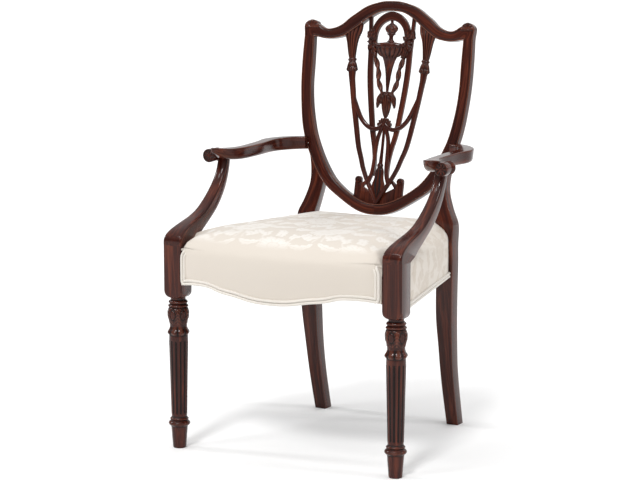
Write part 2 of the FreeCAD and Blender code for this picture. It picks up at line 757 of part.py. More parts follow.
def side_rail(leg):
    ys = (LEG_BACK_Y, REAR_SHOULDER_Y + 3)
    outer = [(side_x(y, PADDING), y) for y in ys]
    inner = [(side_x(y, PADDING + RAIL_THICK), y) for y in reversed(ys)]
    rail = cut(rail_prism(outer + inner), leg)
    return main_body(rail.fuse(side_front_tenon()).fuse(side_rear_tenon()))


def front_rail():
    outer = seat_plan(PADDING, 0, LEG_BACK_Y, RAIL_BOTTOM, RAIL_HEIGHT)
    inner = seat_plan(PADDING + FRONT_RAIL_THICK, 0, LEG_BACK_Y + 90, RAIL_BOTTOM - 1, RAIL_HEIGHT + 2)
    rail = outer.cut(inner)
    span = block((-LEG_INNER_X, -400, 0), (LEG_INNER_X, LEG_BACK_Y, 900))
    rail = main_body(rail.common(span))
    rail = cut(rail, hem_cutter(3.0, RAIL_BOTTOM + RAIL_LIFT))
    return main_body(join(rail, *both(front_tenon())))


def rear_rail(legs):
    reach = REAR_TENON_X + 8
    y0 = REAR_RAIL_Y
    y1 = REAR_RAIL_Y + REAR_RAIL_THICK
    rail = rail_prism([(-reach, y0), (reach, y0), (reach, y1), (-reach, y1)])
    rail = cut(rail, *legs)
    return main_body(join(rail, *both(rear_tenon())))


CORNER_LOW = 18.0
CORNER_TALL = 61.0
CORNER_GAP = 1.6


def corner_prism(points):
    return plate(points, RAIL_BOTTOM + CORNER_LOW, CORNER_TALL)


def front_corner_block(rail):
    deep = PADDING + RAIL_THICK
    y_far = LEG_BACK_Y + 52
    y_near = LEG_BACK_Y + CORNER_GAP
    x_near = LEG_INNER_X - CORNER_GAP
    points = [(side_x(y_far, deep), y_far), (side_x(y_near, deep), y_near), (x_near, y_near)]
    points += [(x_near, front_y(x_near, PADDING)), (x_near - 56, front_y(x_near - 56, PADDING + 8))]
    return cut(corner_prism(points), rail)


def rear_corner_block():
    deep = PADDING + RAIL_THICK
    y_far = REAR_SHOULDER_Y - 50
    y_near = REAR_SHOULDER_Y - CORNER_GAP - 1
    x_near = REAR_TENON_X - 5 - CORNER_GAP
    points = [(side_x(y_far, deep), y_far), (side_x(y_near, deep), y_near), (x_near, y_near)]
    points += [(x_near, REAR_RAIL_Y), (x_near - 50, REAR_RAIL_Y)]
    return corner_prism(points)


CORNER_SCREW_Z = 52.0
SCREW_BITE = 14.0


def corner_screw_ends():
    """Start and end of the front and rear corner screws on the right side."""
    z = RAIL_BOTTOM + CORNER_SCREW_Z
    front = Vector(LEG_INNER_X - 16, LEG_BACK_Y + 12, z)
    front_end = Vector(LEG_INNER_X + SCREW_BITE - 8, LEG_BACK_Y - SCREW_BITE + 6, z)
    rear = Vector(REAR_TENON_X - 24, REAR_SHOULDER_Y - 14, z)
    rear_end = Vector(REAR_TENON_X + 9, REAR_SHOULDER_Y + 10, z)
    return [(front, front_end), (rear, rear_end)]


# Seat filling


WEB_WIDE = 50.0
WEB_ACROSS_Y = [-112.0, -48.0, 16.0, 80.0, 144.0, 208.0]
WEB_ALONG_X = [-120.0, -60.0, 0.0, 60.0, 120.0]
WEB_EDGE = 5.0


def seat_webbing():
    """Strips across the seat with strips along it lying on top."""
    strips = []
    for y in WEB_ACROSS_Y:
        reach = side_x(y + WEB_WIDE / 2, PADDING + WEB_EDGE)
        corner = (reach, y + WEB_WIDE / 2, RAIL_TOP + WEB_THICK)
        strips.append(block((-reach, y - WEB_WIDE / 2, RAIL_TOP), corner))
    low = RAIL_TOP + WEB_THICK
    for x in WEB_ALONG_X:
        y0 = front_y(abs(x) + WEB_WIDE / 2, PADDING + WEB_EDGE)
        y1 = REAR_RAIL_Y + REAR_RAIL_THICK - WEB_EDGE
        far = (x + WEB_WIDE / 2, y1, low + WEB_THICK)
        strips.append(block((x - WEB_WIDE / 2, y0, low), far))
    return strips


CROWN_STEPS = [
    (0.0, 0.0), (8.0, 1.0), (18.0, 5.5), (28.0, 14.0), (37.0, 27.0), (46.0, 48.0), (53.0, 78.0),
    (57.5, 112.0), (59.0, 140.0),
]
CROWN_TALL = 59.0
CROWN_START = 1.5


def cushion_body():
    """Stuffed seat: straight border with a crown whose outline draws in step by step."""
    z0 = RAIL_TOP + CROWN_START
    border = seat_plan(0, 0, BACK_EDGE_Y, RAIL_BOTTOM - 20, z0 - RAIL_BOTTOM + 20)
    wires = []
    for rise, inset in CROWN_STEPS:
        z = z0 + rise * SEAT_CROWN / CROWN_TALL
        wires.append(seat_plan(inset, inset, BACK_EDGE_Y - inset, z, 0))
    crown = Part.makeLoft(wires, True, False)
    return border.fuse(crown)


def seat_cushion(support):
    body = cushion_body()
    deck_z = RAIL_TOP + 2 * WEB_THICK + DECK_THICK + SOFT_CLEAR
    inset = PADDING - SOFT_CLEAR
    back_y = REAR_RAIL_Y + REAR_RAIL_THICK + SOFT_CLEAR
    core = seat_plan(inset, inset, back_y, RAIL_BOTTOM - 30, deck_z - RAIL_BOTTOM + 30)
    low = -HEM_BELOW
    notch_low = (LEG_INNER_X - SOFT_CLEAR, front_y(0) - BLOCK, RAIL_BOTTOM + low)
    notch = block(notch_low, (LEG_INNER_X + 120, LEG_BACK_Y + SOFT_CLEAR, BLOCK_TOP + 0.5))
    under = block((-400, LEG_BACK_Y - 3, RAIL_BOTTOM + low), (400, BACK_EDGE_Y + 50, RAIL_BOTTOM))
    body = body.cut(core).cut(hem_cutter(0.0, 0.0)).cut(under)
    grown_leg = back_leg(SOFT_CLEAR)
    rear_low = (REAR_TENON_X + 2, REAR_SHOULDER_Y + 2, RAIL_BOTTOM + low)
    rear_notch = block(rear_low, (LEG_INNER_X, BACK_EDGE_Y + 50, BLOCK_TOP + SEAT_CROWN))
    for tool in both(notch) + both(support) + both(rear_notch) + both(grown_leg):
        body = body.cut(tool)
    return main_body(body)


def cord_section(middle, out, along_face):
    """Outline of a double cord: two round lobes standing on a flat tape."""
    edge = CORD_STEP / 2.0 + CORD_R
    rim = [middle - along_face * edge]
    for lobe in (-1, 1):
        for i in range(5):
            angle = math.radians(-90 + 45 * i)
            across = lobe_offset(lobe) + CORD_R * math.sin(angle)
            rim.append(middle + along_face * across + out * (CORD_TAPE + CORD_PROUD * math.cos(angle)))
    rim.append(middle + along_face * edge)
    return rim


def lobe_offset(lobe):
    return lobe * CORD_STEP / 2.0


WELT_REACH = 243.5
WELT_STATIONS = 14


def hem_z(x):
    """Height of the shaped lower edge at x, by straight steps between its points."""
    x = abs(x)
    for (x0, z0), (x1, z1) in zip(HEM, HEM[1:]):
        if x <= x1:
            return RAIL_BOTTOM + z0 + (z1 - z0) * (x - x0) / (x1 - x0)
    return RAIL_BOTTOM + HEM[-1][1]


def welt_front():
    """Double cord along the shaped lower edge and up the inner edge of each leg block."""
    rise = CORD_STEP / 2.0 + CORD_R
    off = SOFT_CLEAR
    sections = []
    for i in range(2 * WELT_STATIONS + 1):
        x = WELT_REACH * (i / WELT_STATIONS - 1)
        middle = Vector(x, front_y(x) - off, hem_z(x) + rise)
        sections.append(cord_section(middle, BACKWARD * -1, UP))
    low = skin(sections)
    riser_x = WELT_REACH - rise
    rows = []
    for z in (hem_z(riser_x) + rise, RAIL_TOP + CROWN_START):
        middle = Vector(riser_x, front_y(riser_x) - off, z)
        rows.append(cord_section(middle, BACKWARD * -1, ACROSS))
    riser = skin(rows, True)
    return main_body(join(low, *both(riser)))


def welt_side(leg):
    rows = []
    rise = CORD_STEP / 2.0 + CORD_R
    lean = math.atan(SIDE_TAPER)
    out = Vector(math.cos(lean), math.sin(lean), 0)
    for y in (LEG_BACK_Y + SOFT_CLEAR, REAR_SHOULDER_Y + 3):
        middle = Vector(side_x(y, -SOFT_CLEAR), y, RAIL_BOTTOM + rise)
        rows.append(cord_section(middle, out, UP))
    return cut(skin(rows, True), leg)


def deck_outline():
    edge = PADDING + 2.0
    y0 = LEG_BACK_Y + 2.0
    y1 = REAR_SHOULDER_Y - 4.0
    right = [(side_x(y0, edge), y0), (side_x(y1, edge), y1)]
    rear = [(REAR_TENON_X - 8, y1), (REAR_TENON_X - 8, REAR_RAIL_Y + REAR_RAIL_THICK - 2)]
    front = [(LEG_INNER_X - 2, y0), (LEG_INNER_X - 2, front_y(LEG_INNER_X - 2, edge))]
    front.reverse()
    half = [(0, front_y(0, edge + 6)), (120, front_y(120, edge + 6))] + front + right + rear
    return half + [(-x, y) for x, y in reversed(half) if x > 0]


def seat_deck():
    low = RAIL_TOP + 2 * WEB_THICK
    return plate(deck_outline(), low, DECK_THICK)


def dust_cover():
    edge = PADDING + 4.0
    y0 = LEG_BACK_Y + 3.0
    y1 = REAR_SHOULDER_Y - 5.0
    right = [(side_x(y0, edge), y0), (side_x(y1, edge), y1)]
    rear = [(REAR_TENON_X - 9, y1), (REAR_TENON_X - 9, REAR_RAIL_Y + REAR_RAIL_THICK - 3)]
    half = right + rear
    low = RAIL_BOTTOM + RAIL_LIFT - DUST_THICK
    return plate(half + [(-x, y) for x, y in reversed(half)], low, DUST_THICK)


# Fasteners


def crest_dowel_rods(grow=0.0):
    rods = []
    for x in (198.6, 210.0):
        low = Vector(x, JOINT_W - 16 - grow, 5.9)
        rods.append(rod(low, Vector(x, JOINT_W + 14 + grow, 5.9), DOWEL_R + grow))
    return rods + [mirrored(r) for r in rods]


def mitre_dowel(grow=0.0):
    return rod(Vector(-16 - grow, 13.4, 6), Vector(16 + grow, 13.4, 6), DOWEL_R + grow)


def lap_screw_ends():
    """Screws through the back post into the shield side, on the board, right side."""
    ends = []
    for x, w in ((158.5, 112.0), (174.0, 140.0)):
        ends.append((Vector(x, w, -14.5), Vector(x, w, 8.0)))
    return ends


def support_dowel(grow=0.0):
    low = Vector(FRONT_LEG_X, FRONT_LEG_Y, BLOCK_TOP - 18 - grow)
    return rod(low, Vector(FRONT_LEG_X, FRONT_LEG_Y, BLOCK_TOP + 16 + grow), SUPPORT_DOWEL_R + grow)


def arm_dowel(grow=0.0):
    x = FRONT_LEG_X + 1.0
    low = Vector(x, 38, ARM_Z - 50 - grow)
    return rod(low, Vector(x, 38, ARM_Z - 13 + grow), DOWEL_R + 1 + grow)


ARM_SCREW_D = 5.0
ARM_SCREW_DROP = 8.6


def arm_screw_ends():
    """Screw from the window side of the shield through the stile into the arm."""
    tilt = math.radians(BACK_RAKE)
    d = ARM_SCREW_D
    w = (ARM_Z - ARM_SCREW_DROP - BACK_Z - d * math.sin(tilt)) / math.cos(tilt)
    y = BACK_FOOT_Y + w * math.sin(tilt) - d * math.cos(tilt)
    z = BACK_Z + w * math.cos(tilt) + d * math.sin(tilt)
    return Vector(170.0, y + 1.5, z), Vector(226.0, y - 20, z)


def to_chair_all(shapes):
    return [to_chair(shape) for shape in shapes]


def save(name, shapes):
    """Writes one node, moved so that the origin lies under the middle of the chair."""
    solids = shapes if isinstance(shapes, list) else [shapes]
    shape = solids[0] if len(solids) == 1 else Part.makeCompound(solids)
    moved = shape.copy()
    moved.translate(Vector(0, -MIDDLE_Y, 0))
    moved.exportStep("parts/" + name + ".step")


def build():
    nodes = make_back()
    sides = [nodes["shield_side_right"], nodes["shield_side_left"]]

    leg = cut(back_leg(), sides[0])
    support = arm_support()
    rest = cut(arm(), sides[0], leg)
    support = cut(support, rest)
    scroll = cut(arm_scroll(), rest, support)
    fore = front_leg()

    corner_holes = [screw_hole(a, b) for a, b in corner_screw_ends()]
    arm_hole = screw_hole(*arm_screw_ends())
    lap_holes = to_chair_all([screw_hole(a, b) for a, b in lap_screw_ends()])

    side = cut(side_rail(leg), *corner_holes)
    front = front_rail()
    rear = rear_rail(both(leg))
    fore_block = cut(front_corner_block(front), corner_holes[0])
    rear_block = cut(rear_corner_block(), corner_holes[1])

    mortises = [side_front_tenon(CLEAR), front_tenon(CLEAR), support_dowel(CLEAR), corner_holes[0]]
    fore = cut(fore, *mortises)
    leg = cut(leg, side_rear_tenon(CLEAR), rear_tenon(CLEAR), corner_holes[1], *lap_holes)
    support = cut(support, support_dowel(CLEAR), arm_dowel(CLEAR))
    rest = cut(rest, arm_dowel(CLEAR), arm_hole)
    scroll = cut(scroll, arm_dowel(CLEAR))

    dowel_holes = to_chair_all(crest_dowel_rods(CLEAR))
    mitre_hole = to_chair(mitre_dowel(CLEAR))
    nodes["crest_rail"] = cut(nodes["crest_rail"], *dowel_holes)
    stile = cut(sides[0], mitre_hole, arm_hole, *dowel_holes, *lap_holes)
    nodes["shield_side_right"] = stile
    nodes["shield_side_left"] = mirrored(stile)

    pairs = {
        "front_leg": fore, "arm_support": support, "arm": rest, "arm_scroll": scroll,
        "back_leg": leg, "side_rail": side, "front_corner_block": fore_block,
        "rear_corner_block": rear_block, "welt_side": welt_side(leg),
    }
    for name, shape in pairs.items():
        nodes[name + "_right"] = shape
        nodes[name + "_left"] = mirrored(shape)

    nodes["front_rail"] = front
    nodes["rear_rail"] = rear
    nodes["seat_webbing"] = seat_webbing()
    nodes["seat_deck"] = seat_deck()
    nodes["seat_cushion"] = seat_cushion(arm_support(SOFT_CLEAR))
    nodes["dust_cover"] = dust_cover()
    nodes["welt_front"] = welt_front()
    nodes["crest_dowels"] = to_chair_all(crest_dowel_rods())
    nodes["shield_mitre_dowel"] = to_chair(mitre_dowel())
    nodes["arm_support_dowels"] = both(support_dowel()) + both(arm_dowel())
    corner = [screw(a, b) for a, b in corner_screw_ends()]
    nodes["corner_block_screws"] = corner + [mirrored(s) for s in corner]
    lap = to_chair_all([screw(a, b) for a, b in lap_screw_ends()])
    nodes["back_post_screws"] = lap + [mirrored(s) for s in lap]
    nodes["arm_screws"] = both(screw(*arm_screw_ends()))

    os.makedirs("parts", exist_ok=True)
    for name, shapes in nodes.items():
        save(name, shapes)


build()
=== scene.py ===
import math

import bmesh
import bpy
import numpy as np
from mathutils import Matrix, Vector


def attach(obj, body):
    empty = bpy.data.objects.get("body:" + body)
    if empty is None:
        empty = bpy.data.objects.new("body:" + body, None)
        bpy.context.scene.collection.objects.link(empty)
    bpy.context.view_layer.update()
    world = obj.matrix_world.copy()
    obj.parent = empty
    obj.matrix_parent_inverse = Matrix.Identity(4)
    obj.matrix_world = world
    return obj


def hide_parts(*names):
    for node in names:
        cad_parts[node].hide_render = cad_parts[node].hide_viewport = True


# Shield back armchair. Shapes are drawn in millimetres with X across, the sitter facing -Y and Z up.
# The back is drawn on its raked board: x across, w up the board and d out of its front face.
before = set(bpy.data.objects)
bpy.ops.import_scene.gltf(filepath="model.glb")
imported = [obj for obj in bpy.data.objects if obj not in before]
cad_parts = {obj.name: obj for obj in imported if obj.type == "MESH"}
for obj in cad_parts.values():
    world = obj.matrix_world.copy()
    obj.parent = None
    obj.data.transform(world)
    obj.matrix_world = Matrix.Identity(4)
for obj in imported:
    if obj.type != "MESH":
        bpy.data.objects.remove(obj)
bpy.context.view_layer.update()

RAIL_BOTTOM = 357.0
RAIL_TOP = 440.0
BLOCK_TOP = 455.0
ARM_Z = 652.0
FRONT_LEG_X = 268.0
FRONT_LEG_Y = -163.6
HALF_BLOCK = 23.0
LEG_INNER_X = FRONT_LEG_X - HALF_BLOCK
LEG_BACK_Y = FRONT_LEG_Y + HALF_BLOCK
BACK_Y = 267.7
BACK_Z = 486.0
RAKE = math.radians(8.83)
BOW = 13.5
MIDDLE_Y = 65.6
SEAT_BACK_Y = 289.7
REAR_NOTCH_Y = 253.2
REAR_NOTCH_X = 158.6
SIDE_TAPER = 0.23499


# Curves


def cubic(knots, values, at):
    """Natural cubic through the values at the knots, read at the given places."""
    count = len(knots)
    h = np.diff(knots)
    system = np.eye(count)
    right = np.zeros_like(values)
    for i in range(1, count - 1):
        system[i, i - 1:i + 2] = h[i - 1], 2 * (h[i - 1] + h[i]), h[i]
        before = (values[i] - values[i - 1]) / h[i - 1]
        right[i] = 6 * ((values[i + 1] - values[i]) / h[i] - before)
    bend = np.linalg.solve(system, right)
    k = np.clip(np.searchsorted(knots, at) - 1, 0, count - 2)
    width = h[k][:, None]
    a = ((knots[k + 1] - at) / h[k])[:, None]
    b = 1 - a
    curved = ((a ** 3 - a) * bend[k] + (b ** 3 - b) * bend[k + 1]) * width ** 2 / 6
    return a * values[k] + b * values[k + 1] + curved


def run_along(points):
    steps = np.linalg.norm(np.diff(points, axis=0), axis=1)
    return np.concatenate([[0], np.cumsum(steps)])


def dense(rows, step, key=2):
    """Rows joined by a cubic and read every step mm along their first key columns."""
    rows = np.array(rows, float)
    along = run_along(rows[:, :key])
    count = max(int(round(along[-1] / step)), 3)
    return cubic(along, rows, np.linspace(0, along[-1], count + 1))


def straight(rows, step, key=2):
    """Rows joined by straight steps and read every step mm."""
    rows = np.array(rows, float)
    along = run_along(rows[:, :key])
    at = np.linspace(0, along[-1], max(int(round(along[-1] / step)), 2) + 1)
    return np.stack([np.interp(at, along, rows[:, i]) for i in range(rows.shape[1])], 1)


def smoothstep(x):
    x = np.clip(x, 0, 1)
    return x * x * (3 - 2 * x)


def stand(x, w, d):
    """Points of the raked board, with its bow, as chair points."""
    x, w, d = np.broadcast_arrays(x, w, d)
    side = np.clip(np.abs(x) / 205.0, 0, 1)
    d = d - BOW * (1 - side ** 2) * smoothstep(w / 200.0)
    y = BACK_Y + w * math.sin(RAKE) - d * math.cos(RAKE)
    z = BACK_Z + w * math.cos(RAKE) + d * math.sin(RAKE)
    return np.stack([x, y, z], -1)


def bell(x, middle, width):
    return np.exp(-((x - middle) / width) ** 2)


# Shapes


GRAIN_SHIFT = (900.0, 70.0, 40.0)
SHARP_ANGLE = 38.0
EDGE_SHARE = 0.46


class Shape:
    """Points and faces, with each point's place in the grain and its painted light and wear: -1 for painted
    shade in a hollow, 1 for an edge lightened by wear and painted highlight.
    """

    def __init__(self):
        self.points = []
        self.faces = []
        self.grain = []
        self.painted_light_and_wear = []
        self.count = 0

    def add(self, points, faces, grain, painted_light_and_wear):
        self.faces += [[i + self.count for i in face] for face in faces]
        self.points.append(points.reshape(-1, 3))
        self.grain.append(grain.reshape(-1, 3))
        self.painted_light_and_wear.append(np.broadcast_to(painted_light_and_wear, grain.shape[:-1]).reshape(-1))
        self.count += self.points[-1].shape[0]

    def grid(self, points, grain, painted_light_and_wear=0.0):
        """Rows of rings, closed at both ends."""
        n, m = points.shape[:2]
        i = np.arange(n - 1)[:, None] * m
        j = np.arange(m)[None, :]
        k = (j + 1) % m
        faces = np.stack([i + j, i + k, i + m + k, i + m + j], -1).reshape(-1, 4).tolist()
        faces += [list(range(m))[::-1], list(range((n - 1) * m, n * m))]
        self.add(points, faces, grain, np.broadcast_to(painted_light_and_wear, (n, m)))

    def mirrored(self):
        """The left-hand twin, cut from another stretch of the wood."""
        other = Shape()
        other.points = [p * (-1, 1, 1) for p in self.points]
        other.faces = [face[::-1] for face in self.faces]
        other.grain = [g + GRAIN_SHIFT for g in self.grain]
        other.painted_light_and_wear = self.painted_light_and_wear
        other.count = self.count
        return other


def make_piece(name, shape, nodes, material, sharp=SHARP_ANGLE):
    """Mesh object from a shape, riding on the chair and standing for its nodes."""
    points = (np.concatenate(shape.points) - (0, MIDDLE_Y, 0)) / 1000
    mesh = bpy.data.meshes.new(name)
    mesh.from_pydata(points.tolist(), [], shape.faces)
    work = bmesh.new()
    work.from_mesh(mesh)
    bmesh.ops.recalc_face_normals(work, faces=work.faces)
    work.to_mesh(mesh)
    work.free()
    grain = mesh.attributes.new("grain", "FLOAT_VECTOR", "POINT")
    grain.data.foreach_set("vector", np.concatenate(shape.grain).astype(np.float32).ravel())
    # Per-point painted light and wear: painted shade in the hollows, edges lightened by wear and painted
    # highlight.
    painted_light_and_wear = mesh.attributes.new("painted_light_and_wear", "FLOAT", "POINT")
    painted_light_and_wear.data.foreach_set("value", np.concatenate(shape.painted_light_and_wear).astype(np.float32))
    mesh.shade_smooth()
    mesh.set_sharp_from_angle(angle=math.radians(sharp))
    mesh.materials.append(material)
    obj = bpy.data.objects.new(name, mesh)
    bpy.context.scene.collection.objects.link(obj)
    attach(obj, "root")
    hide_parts(*nodes)
    return obj


def quadratic(a, b, c, t):
    """Points of the curve from a to c that leans towards b."""
    return a * (1 - t) ** 2 + b * 2 * t * (1 - t) + c * t ** 2


def soften(corners, radii, per):
    """Rounds each corner of rings of corners (n, k, 3); gives rings and a weight for edge wear and painted
    highlight that peaks on the edges.
    """
    k = corners.shape[1]
    t = np.linspace(0, 1, per + 1)[None, :, None]
    rings = []
    painted_light_and_wear = []
    for i in range(k):
        here = corners[:, i]
        sides = []
        for other in (corners[:, i - 1], corners[:, (i + 1) % k]):
            edge = other - here
            long = np.linalg.norm(edge, axis=1)[:, None]
            reach = np.minimum(radii[i], EDGE_SHARE * long)
            sides.append((here + edge / np.maximum(long, 1e-6) * reach)[:, None])
        rings.append(quadratic(sides[0], here[:, None], sides[1], t))
        painted_light_and_wear.append(np.sin(np.pi * t[0, :, 0]))
    return np.concatenate(rings, 1), np.concatenate(painted_light_and_wear)


def ring_grain(points, along):
    """Grain places for rings: the run along the piece and the place in the section."""
    middle = points.mean(1, keepdims=True)
    local = points - middle
    axis = np.gradient(middle[:, 0], axis=0)
    axis /= np.maximum(np.linalg.norm(axis, axis=1)[:, None], 1e-9)
    side = np.cross(axis, (0.3, 0.1, 1.0))
    side /= np.maximum(np.linalg.norm(side, axis=1)[:, None], 1e-9)
    up = np.cross(axis, side)
    u = (local * side[:, None]).sum(-1)
    v = (local * up[:, None]).sum(-1)
    s = np.broadcast_to(np.asarray(along)[:, None], u.shape)
    return np.stack([s, u, v], -1)


def loft(shape, corners, radii, per, painted_light_and_wear):
    """Bar through dense rings of corners (n, k, 3), with rounded edges."""
    rings, edge = soften(corners, radii, per)
    along = run_along(corners.mean(1))
    # The rounded edges are lightened for wear and painted highlight.
    shape.grid(rings, ring_grain(rings, along), painted_light_and_wear * edge[None])


def across_path(rows):
    """Unit direction across a board path, and the run along it."""
    run = np.gradient(rows[:, :2], axis=0)
    run /= np.maximum(np.linalg.norm(run, axis=1)[:, None], 1e-9)
    return np.stack([run[:, 1], -run[:, 0]], 1), run_along(rows[:, :2])


def on_board(shape, rows, offset, d, painted_light_and_wear):
    """Adds rings that lie offset mm across a board path, at depth d."""
    side, along = across_path(rows)
    x = rows[:, 0:1] + offset * side[:, 0:1]
    w = rows[:, 1:2] + offset * side[:, 1:2]
    grain = np.stack([np.broadcast_to(along[:, None], x.shape), offset, d], -1)
    shape.grid(stand(x, w, d), grain, painted_light_and_wear)


BAR_STEP = 2.0
BAR_COUNT = 18
# How much a rib's side edges are lightened, for wear and painted highlight.
BAR_EDGE_LIGHT_AND_WEAR = 0.3
LEAST_HALF = 0.25


def bar(shape, rows, power, crown):
    """Rib on the board through rows of (x, w, half, back d, front d); crown is the share that is domed."""
    rows = dense(rows, BAR_STEP)
    t = np.linspace(0, np.pi, BAR_COUNT)
    u = np.sign(np.cos(t)) * np.abs(np.cos(t)) ** (2 / power)
    top = np.abs(np.sin(t)) ** (2 / power)
    # Painted highlight and wear along both edges of the rib.
    lit = np.concatenate([bell(np.abs(u), 1.0, 0.12), np.zeros(4)]) * BAR_EDGE_LIGHT_AND_WEAR
    u = np.concatenate([u, [-1, -0.86, 0.86, 1]])
    back = rows[:, 3:4]
    tall = rows[:, 4:5] - back
    d = back + tall * (1 - crown + crown * top[None])
    low = np.array([[0.12, 0.0, 0.0, 0.12]])
    d = np.concatenate([d, back + tall * low], 1)
    on_board(shape, rows, u[None] * np.maximum(rows[:, 2:3], LEAST_HALF), d, lit[None])


def carved(shape, rows, groove=None, deep=1.0, dome=0.6, across=17, step=1.1, scallop=(0, 0.0)):
    """Carved strip or leaf: groove(share, u) from 0 to 1 sinks its front face by deep mm."""
    rows = dense(rows, step)
    along = run_along(rows[:, :2])
    share = (along / along[-1])[:, None]
    u = np.linspace(-1, 1, across)
    notch = 1 - scallop[1] * (1 - np.abs(np.sin(np.pi * scallop[0] * share)) ** 0.6)
    half = np.maximum(rows[:, 2:3], LEAST_HALF) * notch
    back = rows[:, 3:4]
    tall = rows[:, 4:5] - back
    d = back + tall * (1 - dome + dome * np.sqrt(1 - (0.97 * u[None]) ** 2))
    sunk = np.zeros_like(d)
    painted_light_and_wear = np.zeros_like(d)
    if groove is not None:
        sunk = np.clip(groove(share, u[None] + 0 * share), 0, 1)
        # Painted shade sinks into the grooves, and the ridges between them are lightened for wear and painted
        # highlight.
        painted_light_and_wear = 0.45 * (1 - sunk) - 1.2 * sunk
    d = d - sunk * np.minimum(deep, 0.6 * tall)
    u = np.concatenate([u, [1.0, 0.8, -0.8, -1.0]])
    low = np.array([[0.35, 0.0, 0.0, 0.35]])
    d = np.concatenate([d, back + (tall * (1 - dome)) * low], 1)
    on_board(shape, rows, u[None] * half, d, np.concatenate([painted_light_and_wear, np.zeros((len(rows), 4))], 1))


def flutes(lobes, sharp=0.45):
    """Grooves that part a strip into lobes running along it."""
    return lambda share, u: 1 - np.abs(np.sin(np.pi * lobes * (u + 1) / 2)) ** sharp


def veins(count, lean=0.8, sharp=0.5):
    """Middle vein with side veins that lean towards the tip."""
    def read(share, u):
        sides = 1 - np.abs(np.sin(np.pi * (count * share - lean * np.abs(u)))) ** sharp
        return np.maximum(bell(u, 0, 0.1), 0.8 * sides * smoothstep(np.abs(u) * 5))
    return read


LEAF_WIDTH = [(0, 0.3), (0.15, 0.62), (0.4, 1.0), (0.65, 0.86), (0.85, 0.48), (1, 0.1)]


LEAF_BACK = 7.0
LEAF_FRONT = 14.5


def leaf(shape, start, end, half, bend, lift):
    """Carved leaf from start to end on the board, bending sideways and curling up at its tip."""
    start = np.array(start, float)
    end = np.array(end, float)
    side = np.array([end[1] - start[1], start[0] - end[0]])
    side /= np.linalg.norm(side)
    rows = []
    for t, width in LEAF_WIDTH:
        p = start + (end - start) * t + side * bend * math.sin(math.pi * t)
        rows.append((p[0], p[1], half * width, LEAF_BACK, LEAF_FRONT - 1.2 * abs(t - 0.5) + lift * t ** 3))
    carved(shape, rows, veins(3), 0.9, 0.55, 13, 0.9, (3, 0.22))


def turned_points(profile, step):
    """Dense (radius, height) points of a turning; rows of four hold the middle of an arc first."""
    points = [np.array([profile[0][:2]], float)]
    for row in profile[1:]:
        last = points[-1][-1]
        end = np.array(row[-2:], float)
        count = max(int(np.linalg.norm(end - last) / step), 1)
        t = np.linspace(0, 1, (max(count, 6) if len(row) == 4 else count) + 1)[1:, None]
        if len(row) == 4:
            middle = np.array(row[:2], float)
            a = (1 - t) * (1 - 2 * t)
            points.append(last * a + middle * 4 * t * (1 - t) + end * t * (2 * t - 1))
        else:
            points.append(last * (1 - t) + end * t)
    return np.concatenate(points)


def turn(shape, profile, segments, put, relief, step):
    """Turning; relief(angle, radius, height) gives the depth cut in and the painted light and wear, put
    places the points.
    """
    rows = turned_points(profile, step)
    angle = np.linspace(0, 2 * np.pi, segments, endpoint=False)[None, :]
    r = np.broadcast_to(rows[:, 0:1], (len(rows), segments))
    h = np.broadcast_to(rows[:, 1:2], (len(rows), segments))
    cut = np.zeros_like(r)
    painted_light_and_wear = np.zeros_like(r)
    if relief is not None:
        cut, painted_light_and_wear = relief(angle + 0 * r, r, h)
    tangent = np.gradient(rows, axis=0)
    tangent /= np.maximum(np.linalg.norm(tangent, axis=1)[:, None], 1e-9)
    r = np.maximum(r - cut * tangent[:, 1:2], 0.05)
    h = h + cut * tangent[:, 0:1]
    u = r * np.cos(angle)
    v = r * np.sin(angle)
    shape.grid(put(u, v, h), np.stack([h, u, v], -1), painted_light_and_wear)


def inset(outline, distance):
    """Outline moved inwards by a small distance."""
    before = outline - np.roll(outline, 1, 0)
    after = np.roll(outline, -1, 0) - outline
    before /= np.maximum(np.linalg.norm(before, axis=1)[:, None], 1e-9)
    after /= np.maximum(np.linalg.norm(after, axis=1)[:, None], 1e-9)
    ways = [np.stack([-e[:, 1], e[:, 0]], 1) for e in (before, after)]
    way = ways[0] + ways[1]
    long = np.maximum(np.linalg.norm(way, axis=1)[:, None], 0.7)
    return outline + way / long ** 2 * 2 * distance


def fret(shape, outline, back, front, ease):
    """Flat fretted plate on the board with an eased front edge."""
    outline = straight(np.vstack([outline, outline[:1]]), 2.0)[:-1]
    x, w = outline.T
    if (x * np.roll(w, -1) - w * np.roll(x, -1)).sum() < 0:
        outline = outline[::-1]
    level = [(0.0, back), (0.0, front - ease), (ease * 0.3, front - ease * 0.3), (ease, front)]
    rings = []
    grain = []
    for way, d in level:
        edge = inset(outline, way)
        rings.append(stand(edge[:, 0], edge[:, 1], d))
        grain.append(np.stack([edge[:, 1], edge[:, 0], np.full(len(edge), d)], 1))
    # The eased front edge is lightened for wear and painted highlight.
    painted_light_and_wear = np.array([0.0, 0.1, 0.35, 0.0])[:, None]
    shape.grid(np.array(rings), np.array(grain), painted_light_and_wear)


def whole(half):
    """Outline whose left side mirrors its right side."""
    half = [tuple(p) for p in half]
    return np.array(half + [(-x, w) for x, w in half[::-1] if x > 0], float)


# Materials


def new_material(name):
    material = bpy.data.materials.new(name)
    material.use_nodes = True
    return material, material.node_tree, material.node_tree.nodes["Principled BSDF"]


def add(tree, kind, links=(), **values):
    """New node; links are (input, source socket) pairs, values are settings or inputs by number."""
    node = tree.nodes.new(kind)
    for key, value in values.items():
        if key.startswith("in_"):
            node.inputs[int(key[3:])].default_value = value
        else:
            setattr(node, key, value)
    for key, source in links:
        tree.links.new(source, node.inputs[key])
    return node


def stretched(tree, source, scale):
    return add(tree, "ShaderNodeMapping", [("Vector", source)], in_3=scale).outputs[0]


